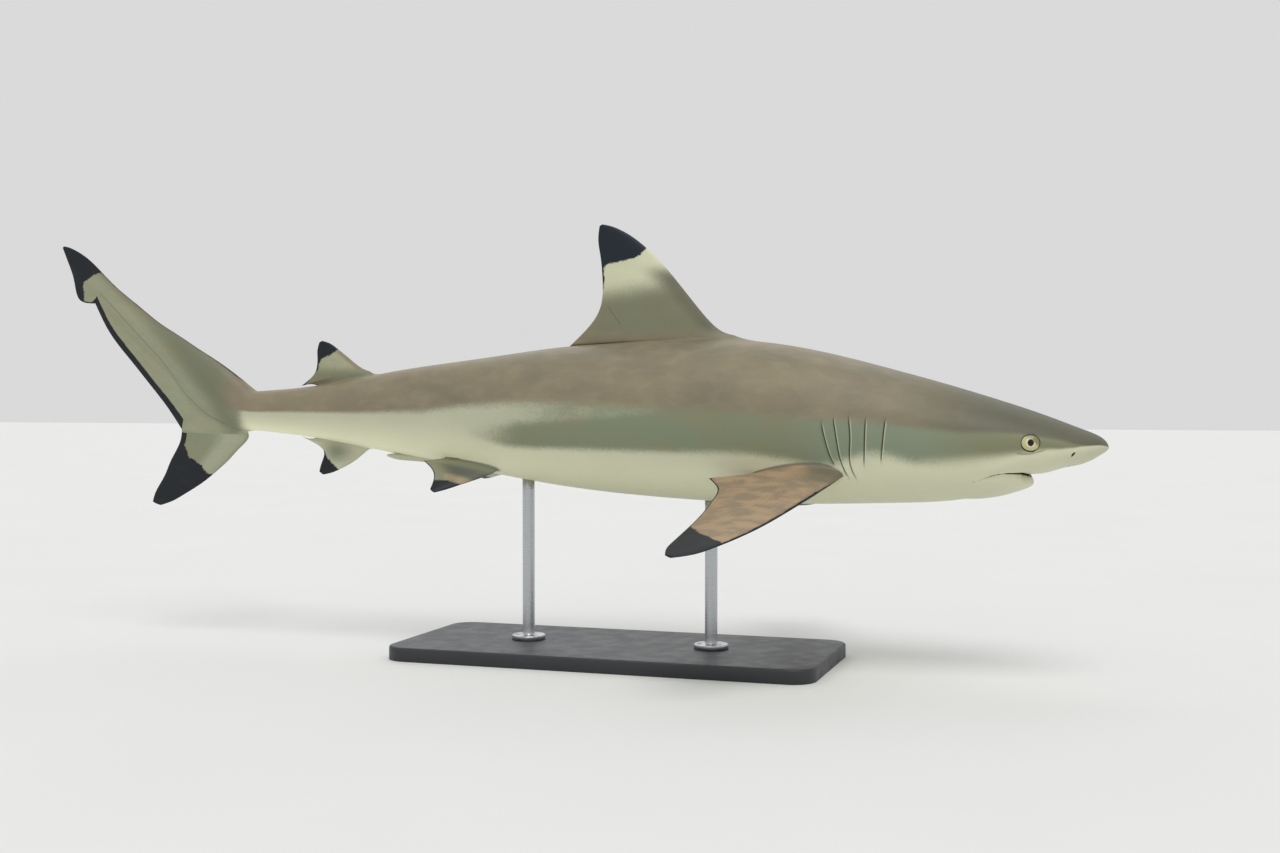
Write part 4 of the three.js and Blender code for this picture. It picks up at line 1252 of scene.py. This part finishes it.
def make_mesh(name, points, face_arrays, attributes=None, smooth_faces=True):
    """A mesh from points in millimetres and arrays of faces; loose points are left out."""
    used = np.unique(np.concatenate([f.reshape(-1) for f in face_arrays]))
    renumber = np.full(len(points), -1)
    renumber[used] = np.arange(len(used))
    loops = np.concatenate([renumber[f].reshape(-1) for f in face_arrays])
    sizes = np.concatenate([np.full(len(f), f.shape[1]) for f in face_arrays])
    mesh = bpy.data.meshes.new(name)
    mesh.vertices.add(len(used))
    mesh.vertices.foreach_set("co", (points[used] * MM).astype(np.float32).reshape(-1))
    mesh.loops.add(len(loops))
    mesh.loops.foreach_set("vertex_index", loops.astype(np.int32))
    mesh.polygons.add(len(sizes))
    mesh.polygons.foreach_set("loop_start", (np.cumsum(sizes) - sizes).astype(np.int32))
    mesh.polygons.foreach_set("use_smooth", np.full(len(sizes), smooth_faces))
    mesh.update(calc_edges=True)
    for key, values in (attributes or {}).items():
        layer = mesh.attributes.new(key, "FLOAT", "POINT")
        layer.data.foreach_set("value", values[used].astype(np.float32))
    shape = bmesh.new()
    shape.from_mesh(mesh)
    bmesh.ops.recalc_face_normals(shape, faces=shape.faces)
    shape.to_mesh(mesh)
    shape.free()
    piece = bpy.data.objects.new(name, mesh)
    bpy.context.collection.objects.link(piece)
    return piece


all_spots = np.concatenate(spots)
all_tags = np.concatenate(tags)
skin = make_mesh("skin", all_spots, faces, {tag: all_tags[:, n] for n, tag in enumerate(TAGS)})
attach(skin, "root")
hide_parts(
    "head", "lower_jaw", "trunk", "tail_stalk", "first_dorsal_fin", "second_dorsal_fin",
    "anal_fin", "pectoral_fin_left", "pectoral_fin_right", "pelvic_fin_left", "pelvic_fin_right",
    "clasper_left", "clasper_right", "tail_fin_upper_lobe", "tail_fin_lower_lobe",
)


def arithmetic(operation):
    """A Python operator and its reflection, each as one Math node."""

    def forward(self, other):
        """The wire on the left."""
        return self.shader.node("Math", {"operation": operation}, {0: self, 1: other})

    def reflected(self, other):
        """The wire on the right."""
        return self.shader.node("Math", {"operation": operation}, {0: other, 1: self})

    return forward, reflected


class Wire:
    """A shader socket. Python arithmetic on it adds Math nodes."""

    def __init__(self, shader, socket):
        self.shader = shader
        self.socket = socket

    __add__, __radd__ = arithmetic("ADD")
    __sub__, __rsub__ = arithmetic("SUBTRACT")
    __mul__, __rmul__ = arithmetic("MULTIPLY")


class Shader:
    """A material and the nodes that it is wired from."""

    def __init__(self, name):
        self.material = bpy.data.materials.new(name)
        self.material.use_nodes = True
        self.tree = self.material.node_tree
        self.tree.nodes.clear()
        self.here = self.node("TexCoord", output="Object")

    def node(self, kind, settings=None, inputs=None, output=0):
        """Adds one node: its settings first, then values or wires for its sockets."""
        made = self.tree.nodes.new("ShaderNode" + kind)
        for key, value in (settings or {}).items():
            setattr(made, key, value)
        for key, value in (inputs or {}).items():
            if isinstance(value, Wire):
                self.tree.links.new(value.socket, made.inputs[key])
            else:
                made.inputs[key].default_value = value
        return Wire(self, made.outputs[output]) if made.outputs else None

    def tag(self, name):
        """A number stored on the mesh's points."""
        return self.node("Attribute", {"attribute_name": name}, output="Fac")

    def grain(self, scale, stretch=(1, 1, 1), detail=2.0):
        """Noise from 0 to 1, about 1 / scale metres to a blotch, on object coordinates."""
        place = self.node("Mapping", None, {"Vector": self.here, "Scale": stretch})
        return self.node("TexNoise", None, {"Vector": place, "Scale": scale, "Detail": detail})

    def step(self, value, low, high, bottom=0.0, top=1.0):
        """A smooth step from bottom to top as value goes from low to high."""
        return self.node("MapRange", {"interpolation_type": "SMOOTHSTEP"},
                         {0: value, 1: low, 2: high, 3: bottom, 4: top})

    def layers(self, colour, *coats):
        """A colour under coats laid on in order: each shows as far as its share goes to 1."""
        for share, coat in coats:
            colour = self.node("Mix", {"data_type": "RGBA"}, {0: share, 6: colour, 7: coat}, output=2)
        return colour

    def finish(self, colour, roughness, bump=None, bump_depth=0.0005, **fixed):
        """One Principled surface. fixed holds the values that are the same all over."""
        inputs = {"Base Color": colour, "Roughness": roughness}
        if bump is not None:
            inputs["Normal"] = self.node("Bump", None, {
                "Height": bump, "Strength": 1.0, "Distance": bump_depth})
        inputs.update({key.replace("_", " "): value for key, value in fixed.items()})
        self.node("OutputMaterial", None, {"Surface": self.node("BsdfPrincipled", None, inputs)})
        return self.material


def paint(red, green, blue):
    """A colour given as display values from 0 to 255, made linear."""
    shares = [value / 255 for value in (red, green, blue)]
    linear = [s / 12.92 if s <= 0.04045 else ((s + 0.055) / 1.055) ** 2.4 for s in shares]
    return (*linear, 1.0)


# Colours of the skin. The dusk colour also serves as painted shade, the brighter warm brown as painted
# patches of light, the blue black as a painted reflection on the highest black tip, the two fold colours
# as painted shade and a painted highlight, and the mouth's colour as painted shade over a red brown
# lining.
BELLY = paint(242, 241, 206)
BELLY_SHADE = paint(182, 183, 158)
BACK = paint(133, 123, 99)
BACK_DARK = paint(118, 111, 91)
BACK_PALE = paint(148, 138, 114)
HEAD_DARK = paint(80, 82, 66)
FLANK = paint(120, 121, 91)
FLANK_COOL = paint(113, 123, 98)
FLANK_GILLS = paint(110, 127, 108)
FLANK_HEAD = paint(107, 110, 80)
DUSK_AND_SHADE = paint(78, 82, 67)
FIN_WARM_LIT = paint(162, 138, 108)
FIN_WARM_DARK = paint(136, 121, 98)
TIP_BLACK = paint(4, 14, 22)
TIP_BROWN = paint(30, 30, 28)
TIP_BLUE_REFLECTION = paint(2, 20, 34)
FOLD_SHADE = paint(46, 44, 38)
FOLD_HIGHLIGHT = paint(205, 208, 180)
MOUTH_SHADE = paint(58, 34, 30)
SCALE_DEPTH = 0.00018

hide = Shader("shark_skin")
x_here = hide.node("SeparateXYZ", None, {0: hide.here}, "X")
z_here = hide.node("SeparateXYZ", None, {0: hide.here}, "Z")
mottle = hide.grain(22, (0.6, 1, 1), 4.0)
patches = hide.grain(75, (0.5, 1, 1), 3.0)
speckle = hide.grain(420, (1, 1, 1), 2.0)
fine = hide.grain(1500, (0.6, 1, 1), 2.0)
rays = hide.node("TexNoise", {"noise_dimensions": "2D"}, {
    "Vector": hide.node("CombineXYZ", None, {"X": hide.tag("ray") * 0.5, "Y": hide.tag("span") * 0.012}),
    "Scale": 1.0, "Detail": 4.0, "Roughness": 0.6})
ragged = hide.grain(150, (1, 1, 1.6), 3.0) * 4.0 + speckle * 2.0 + rays * 7.0 - 6.5
blade = hide.tag("blade")
line = hide.tag("line")
crease = hide.tag("crease")


def speckled(amount, strength):
    """A pigment whose soft edge breaks up into specks, less so on the fins and the head."""
    edge = amount * (1 - amount) * (4 - 2.6 * blade) * hide.step(x_here, 0.36, 0.46, 1, 0.3)
    return hide.step(amount + (speckle - 0.5) * edge * strength + (patches - 0.5) * edge * 0.4, 0.0, 1.0)


brown = speckled(hide.tag("brown"), 0.5)
olive = speckled(hide.tag("olive"), 0.45)
tip = hide.step(hide.tag("tip") + ragged, -0.6, 0.6)
rim = hide.step(hide.tag("margin") + ragged * 0.3 + patches - 0.5, -0.5, 0.5)
at_gills = hide.step(x_here, 0.21, 0.31) * hide.step(x_here, 0.44, 0.36)
high_up = hide.step(z_here, 0.48, 0.50) * hide.step(x_here, -0.4, -0.3)
belly_colour = hide.layers(BELLY_SHADE, (hide.tag("pale") + (mottle - 0.5) * 0.2, BELLY))
flank_colour = hide.layers(
    FLANK,
    (hide.step(mottle, 0.35, 0.65), FLANK_COOL),
    (at_gills * 0.7, FLANK_GILLS),
    (hide.step(x_here, 0.39, 0.49, 0, 0.9), FLANK_HEAD),
)
back_colour = hide.layers(
    BACK_DARK,
    (hide.step(mottle, 0.3, 0.7), BACK),
    (hide.step(patches, 0.4, 0.9, 0, 0.6), BACK_PALE),
    (hide.step(speckle, 0.62, 0.8, 0, 0.25), BACK_DARK),
    (hide.step(x_here, 0.30, 0.52, 0, 0.85), HEAD_DARK),
)
# The warm brown of the fins' upper sides, with lighter patches over it that are painted light.
warm_and_lit_colour = hide.layers(FIN_WARM_DARK, (hide.step(rays * 0.35 + patches, 0.55, 0.8), FIN_WARM_LIT))
# Black of the tips and margins, brownish in patches, with a painted blue reflection high on the first
# dorsal fin's tip.
black_colour = hide.layers(
    TIP_BLACK,
    (hide.step(patches, 0.5, 0.8, 0, 0.5), TIP_BROWN),
    (high_up, TIP_BLUE_REFLECTION),
)
# Among the coats: painted light in the warm brown's patches; painted shade in the dusky grey, the first
# dorsal fin's fold line, the creases and the mouth; a painted reflection on the blue tip and a painted
# highlight on the pale fold edges.
colour = hide.layers(
    belly_colour,
    (olive * 0.92, flank_colour),
    (brown, back_colour),
    (hide.tag("warm"), warm_and_lit_colour),
    (hide.tag("dusky"), DUSK_AND_SHADE),
    (hide.step(rays, 0.6, 0.38, 0, 0.12) * blade * olive, BACK_DARK),
    (hide.step(line * line + patches * 0.8, 1.1, 0.3, 0, 0.6), DUSK_AND_SHADE),
    (tip, black_colour),
    (rim, black_colour),
    (hide.step(crease, 0.0, -0.6, 0, 0.6), FOLD_HIGHLIGHT),
    (crease * 0.85, FOLD_SHADE),
    (hide.tag("mouth"), MOUTH_SHADE),
)
scales = fine * 0.7 + speckle * 0.3
skin.data.materials.append(hide.finish(
    colour, hide.step(mottle + speckle * 0.3, 0.2, 1.0, 0.42, 0.56), scales, SCALE_DEPTH,
    Specular_IOR_Level=0.4))

# ---------------------------------------------------------------------------------------------
# Eyes: glass balls with a pale golden iris, a dark upright pupil and a dark rim under the lids.
# Each is painted behind its clear front and set into a socket of the skin from inside.
EYE_HALF = (13.0, 11.8, 7.6)
EYE_SUNK = 4.3
EYE_ROUNDS = 72
EYE_STEPS = 36
PUPIL_HALF = (3.7, 4.2)
PUPIL_LOW = 0.2
PUPIL_POWER = 1.75
SHADE_LEAN = 0.85
IRIS = paint(214, 209, 162)
IRIS_DARK = paint(166, 161, 113)
IRIS_RING = paint(222, 217, 184)
IRIS_SHADE = paint(104, 106, 66)
EYE_RIM_DARK = paint(24, 24, 18)
PUPIL_BLACK = paint(8, 9, 9)

eye = Shader("shark_eye")
radial = eye.tag("radial")
streak = eye.node("TexNoise", {"noise_dimensions": "2D"}, {
    "Vector": eye.node("CombineXYZ", None, {"X": eye.tag("around") * 5.0, "Y": radial * 0.25}),
    "Scale": 3.0, "Detail": 3.0})
iris = eye.layers(
    IRIS_DARK,
    (streak, IRIS),
    (eye.step(radial, 5.0, 5.7, 0.85, 0.0), IRIS_RING),
    (eye.step(eye.tag("high"), 0.5, 6.5, 0.0, 0.8), IRIS_SHADE),
    (eye.step(eye.tag("share"), 0.76, 0.79), EYE_RIM_DARK),
    (eye.step(eye.tag("pupil"), 0.25, -0.25), PUPIL_BLACK),
)
eye_material = eye.finish(iris, eye.step(streak, 0, 1, 0.08, 0.14), Specular_IOR_Level=0.3,
                          Coat_Weight=0.15, Coat_Roughness=0.03)

rise = np.pi * np.arange(EYE_STEPS + 1)[1:-1] / EYE_STEPS
turn = 2 * np.pi * np.arange(EYE_ROUNDS) / EYE_ROUNDS
flat_along = np.sin(rise)[:, None] * np.cos(turn)
flat_lift = np.sin(rise)[:, None] * np.sin(turn)
deep = np.cos(rise)[:, None] + 0 * turn
for name, side in (("left", 1), ("right", -1)):
    angle = np.array(side * EYE_ANGLE)
    normal = skin_normal(np.array(EYE_STATION), angle)
    lift = unit(UP - normal * normal[2])
    along = np.cross(lift, normal) * side
    centre = skin_point(EYE_STATION, angle) - normal * EYE_SUNK
    local = np.stack([flat_along * EYE_HALF[0], flat_lift * EYE_HALF[1], deep * EYE_HALF[2]], -1)
    local = np.concatenate([local.reshape(-1, 3), [[0, 0, EYE_HALF[2]], [0, 0, -EYE_HALF[2]]]])
    ball = centre + local @ np.stack([along, lift, normal])
    ring = np.arange(len(rise) * EYE_ROUNDS).reshape(len(rise), EYE_ROUNDS)
    caps = [np.stack([ring[end], np.roll(ring[end], -1), np.full(EYE_ROUNDS, len(local) - 2 - end)], -1)
            for end in (0, -1)]
    front = np.where(local[:, 2] > 0, 1.0, 0.0)
    ball_piece = make_mesh(f"eyeball_{name}", ball, [ring_quads(ring), *caps], {
        "radial": np.hypot(local[:, 0], local[:, 1]),
        "around": np.arctan2(local[:, 1], local[:, 0]),
        "high": local[:, 1] - SHADE_LEAN * local[:, 0],
        "share": np.hypot(local[:, 0] / EYE_HALF[0], local[:, 1] / EYE_HALF[1]) + (1 - front),
        "pupil": np.abs(local[:, 0] / PUPIL_HALF[0]) ** PUPIL_POWER
        + np.abs((local[:, 1] + PUPIL_LOW) / PUPIL_HALF[1]) ** PUPIL_POWER - 1,
    })
    ball_piece.data.materials.append(eye_material)
    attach(ball_piece, "root")
    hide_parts(f"eye_{name}")

# ---------------------------------------------------------------------------------------------
# Teeth: a row of small ivory points inside each lip, just showing in the open front of the mouth.
# They are cast in hard resin and glued with their feet in the gum.
TEETH_EACH = 46
TEETH_FROM = 138  # degrees, up to the middle of the throat
TOOTH_WIDE = 1.5
TOOTH_THICK = 0.8
TOOTH_HIGH = 2.0
TOOTH_INSET = 1.9
TOOTH_SUNK = 0.8
TOOTH_LEAN = 0.5
CORNER_SIZE = 0.75  # the size of the rows' last teeth beside that of the middle ones

ivory = Shader("tooth_ivory")
ivory_tone = ivory.layers(paint(214, 206, 178), (ivory.grain(600), paint(238, 233, 214)))
ivory_material = ivory.finish(ivory_tone, ivory.step(ivory.grain(300), 0, 1, 0.22, 0.34))

in_mouth = np.nonzero(away > TEETH_FROM)[0]
for name, edge, way in (("upper", upper_edge, -1), ("lower", lower_edge, 1)):
    path = edge[in_mouth] + inward[in_mouth] * TOOTH_INSET
    run = np.concatenate([[0], np.cumsum(np.linalg.norm(np.diff(path, axis=0), axis=1))])
    line = spline(run, np.hstack([path, inward[in_mouth]]))
    at = np.linspace(0, run[-1], TEETH_EACH)
    made = line(at)
    foot, inner = made[:, :3], unit(made[:, 3:] * [1, 1, 0])
    ahead = unit(np.cross(inner, UP))
    size = CORNER_SIZE + (1 - CORNER_SIZE) * np.sin(np.pi * at / run[-1])[:, None]
    foot = foot - UP * way * TOOTH_SUNK
    corners = [
        foot + ahead * size * TOOTH_WIDE / 2 * a + inner * TOOTH_THICK / 2 * b
        for a, b in ((1, 1), (-1, 1), (-1, -1), (1, -1))
    ]
    point = foot + UP * way * TOOTH_HIGH * size + inner * TOOTH_LEAN
    points = np.concatenate([*corners, point])
    base = np.arange(TEETH_EACH)
    corner = [base + TEETH_EACH * n for n in range(4)]
    apex = base + TEETH_EACH * 4
    sides = np.concatenate([
        np.stack([corner[n], corner[(n + 1) % 4], apex], -1) for n in range(4)])
    teeth = make_mesh(f"teeth_{name}", points, [sides, np.stack(corner, -1)], smooth_faces=False)
    teeth.data.materials.append(ivory_material)
    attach(teeth, "root")

# ---------------------------------------------------------------------------------------------
# Stand: a thick plate of dark painted aluminium, milled with round corners and an eased top edge,
# and two steel rods that are screwed to it and end inside the belly.
PLATE_LENGTH = 560.0
PLATE_WIDTH = 240.0
PLATE_HEIGHT = 18.0
PLATE_CORNER = 30.0
PLATE_EASE = 3.0
PLATE_CHAMFER = 0.6
LOWER_INSET = 12.0  # the innermost rings of the flat faces
UPPER_INSET = 14.0
CORNER_STEPS = 12


def round_edge(top, radius, steps):
    """Rows over a quarter round, from its side to its top: how far in, and the height."""
    return [(radius * (1 - math.cos(a)), top - radius * (1 - math.sin(a)))
            for a in np.linspace(0, np.pi / 2, steps)]


plate_rows = [(LOWER_INSET, 0.0), (PLATE_CHAMFER, 0.0), (0.0, PLATE_CHAMFER)]
plate_rows += round_edge(PLATE_HEIGHT, PLATE_EASE, 7)
plate_rows.append((UPPER_INSET, PLATE_HEIGHT))
quarter = np.linspace(0, np.pi / 2, CORNER_STEPS + 1)
signs = np.repeat([[1, 1], [-1, 1], [-1, -1], [1, -1]], CORNER_STEPS + 1, axis=0)
round_turn = np.concatenate([quarter + k * np.pi / 2 for k in range(4)])
rings = []
for inset, height in plate_rows:
    radius = PLATE_CORNER - inset
    x = signs[:, 0] * (PLATE_LENGTH / 2 - PLATE_CORNER) + radius * np.cos(round_turn)
    y = signs[:, 1] * (PLATE_WIDTH / 2 - PLATE_CORNER) + radius * np.sin(round_turn)
    rings.append(np.stack([x, y, np.full(len(x), height)], -1))
plate_spots = np.concatenate(rings)
plate_ring = np.arange(len(plate_spots)).reshape(len(rings), -1)
plate = make_mesh("stand_plate", plate_spots, [ring_quads(plate_ring), plate_ring[:1], plate_ring[-1:]])
coat = Shader("stand_coating")
orange_peel = coat.grain(700, detail=3.0)
coat_colour = coat.layers(paint(38, 40, 43), (coat.grain(9, detail=3.0), paint(48, 50, 54)))
plate.data.materials.append(coat.finish(
    coat_colour, coat.step(coat.grain(40), 0.3, 0.7, 0.42, 0.52), orange_peel, 0.00012))
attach(plate, "root")
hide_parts("stand_base")

# Rods: brushed steel, each turned in one piece with its round foot and held by three screws.
ROD_RADIUS = 8.0
ROD_OFFSET = 125.0
ROD_INSIDE = 4.0  # how far a rod goes on inside the belly
ROD_AROUND = 56
FOOT_RADIUS = 22.0
FOOT_HEIGHT = 6.0
FOOT_EASE = 1.5
FOOT_CHAMFER = 0.4
FOOT_GAP = 0.3  # keeps the foot's and the plate's faces from lying in one plane
NECK_EASE = 2
CAP_RADIUS = 2.0
SCREWS = 3
SCREW_CIRCLE = 15.5
SCREW_AROUND = 24
# Radius and height above the foot, up the head's side and down into its socket.
SCREW = [(0.6, -0.4), (2.6, -0.4), (2.6, 0.35), (2.25, 0.7), (1.3, 0.8), (1.25, 0.2), (0.4, 0.2)]

steel = Shader("brushed_steel")
lines = steel.grain(60, (1, 1, 30), 2.0)
steel_colour = steel.layers(paint(168, 171, 175), (lines, paint(204, 206, 209)))
steel_material = steel.finish(steel_colour, steel.step(lines, 0.3, 0.7, 0.26, 0.4), lines, 0.00003,
                              Metallic=1.0)


def turned(name, profile, centre, around):
    """A closed turning: a profile of radius and height carried round an upright axis."""
    profile = np.array(profile)
    turn = 2 * np.pi * np.arange(around) / around
    x = centre[0] + profile[:, 0, None] * np.cos(turn)
    y = centre[1] + profile[:, 0, None] * np.sin(turn)
    z = np.broadcast_to(profile[:, 1, None], x.shape)
    points = np.stack([x, y, z], -1)
    ring = np.arange(x.size).reshape(x.shape)
    return make_mesh(name, points.reshape(-1, 3), [ring_quads(ring), ring[:1], ring[-1:]])


for name, x in (("front", ROD_OFFSET), ("rear", -ROD_OFFSET)):
    belly = skin_point(SNOUT_X - x, 180.0)[2]
    low = PLATE_HEIGHT + FOOT_GAP
    top = low + FOOT_HEIGHT
    end = belly + ROD_INSIDE
    profile = [(CAP_RADIUS, low), (FOOT_RADIUS - FOOT_CHAMFER, low), (FOOT_RADIUS, low + FOOT_CHAMFER)]
    profile += [(FOOT_RADIUS - inset, height) for inset, height in round_edge(top, FOOT_EASE, 5)]
    profile += [(ROD_RADIUS + NECK_EASE * (1 - math.sin(a)), top + NECK_EASE * (1 - math.cos(a)))
                for a in np.linspace(0, np.pi / 2, 5)]
    profile += [(ROD_RADIUS, z) for z in np.linspace(top + 8, end, 12)]
    profile.append((CAP_RADIUS, end))
    rod = turned(f"stand_post_{name}", profile, (x, 0.0), ROD_AROUND)
    rod.data.materials.append(steel_material)
    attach(rod, "root")
    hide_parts(f"stand_rod_{name}")
    for number in range(SCREWS):
        turn = 2 * math.pi * (number / SCREWS + 0.25)
        centre = (x + SCREW_CIRCLE * math.cos(turn), SCREW_CIRCLE * math.sin(turn))
        head = [(radius, top + rise) for radius, rise in SCREW]
        screw = turned(f"stand_screw_{name}_{number + 1}", head, centre, SCREW_AROUND)
        screw.data.materials.append(steel_material)
        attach(screw, "root")

# ---------------------------------------------------------------------------------------------
# Floor and light: a pale floor under soft light from above, in front and behind.
FLOOR_HALF = 14.0

floor_mesh = bpy.data.meshes.new("floor")
floor_mesh.from_pydata(
    [(-FLOOR_HALF, -FLOOR_HALF, 0), (FLOOR_HALF, -FLOOR_HALF, 0), (FLOOR_HALF, FLOOR_HALF, 0),
     (-FLOOR_HALF, FLOOR_HALF, 0)], [], [(0, 1, 2, 3)])
floor = bpy.data.objects.new("floor", floor_mesh)
bpy.context.collection.objects.link(floor)
ground = Shader("pale_floor")
ground_tone = ground.layers(paint(216, 217, 216), (ground.grain(3.0), paint(220, 221, 220)))
floor_mesh.materials.append(ground.finish(ground_tone, ground.step(ground.grain(5), 0, 1, 0.7, 0.8),
                                          Specular_IOR_Level=0.1))


def lamp(name, come_from, softness, strength, tone):
    """A far soft light that shines from a direction, its softness in degrees across."""
    data = bpy.data.lights.new(name, "SUN")
    data.angle = math.radians(softness)
    data.energy = strength
    data.color = tone
    light = bpy.data.objects.new(name, data)
    light.rotation_euler = Vector(come_from).to_track_quat("Z", "Y").to_euler()
    bpy.context.collection.objects.link(light)


lamp("key", (0.45, -1.0, 1.9), 35, 1.3, (1.0, 0.985, 0.96))
lamp("back", (-0.5, 1.2, 1.3), 50, 0.5, (0.96, 0.98, 1.0))

SKY_STRENGTH = 0.7
world = bpy.data.worlds.new("studio")
world.use_nodes = True
sky = world.node_tree.nodes["Background"]
sky.inputs["Strength"].default_value = SKY_STRENGTH
sky.inputs["Color"].default_value = (1.0, 1.0, 1.0, 1.0)
bpy.context.scene.world = world
bpy.context.scene.view_settings.view_transform = "Standard"
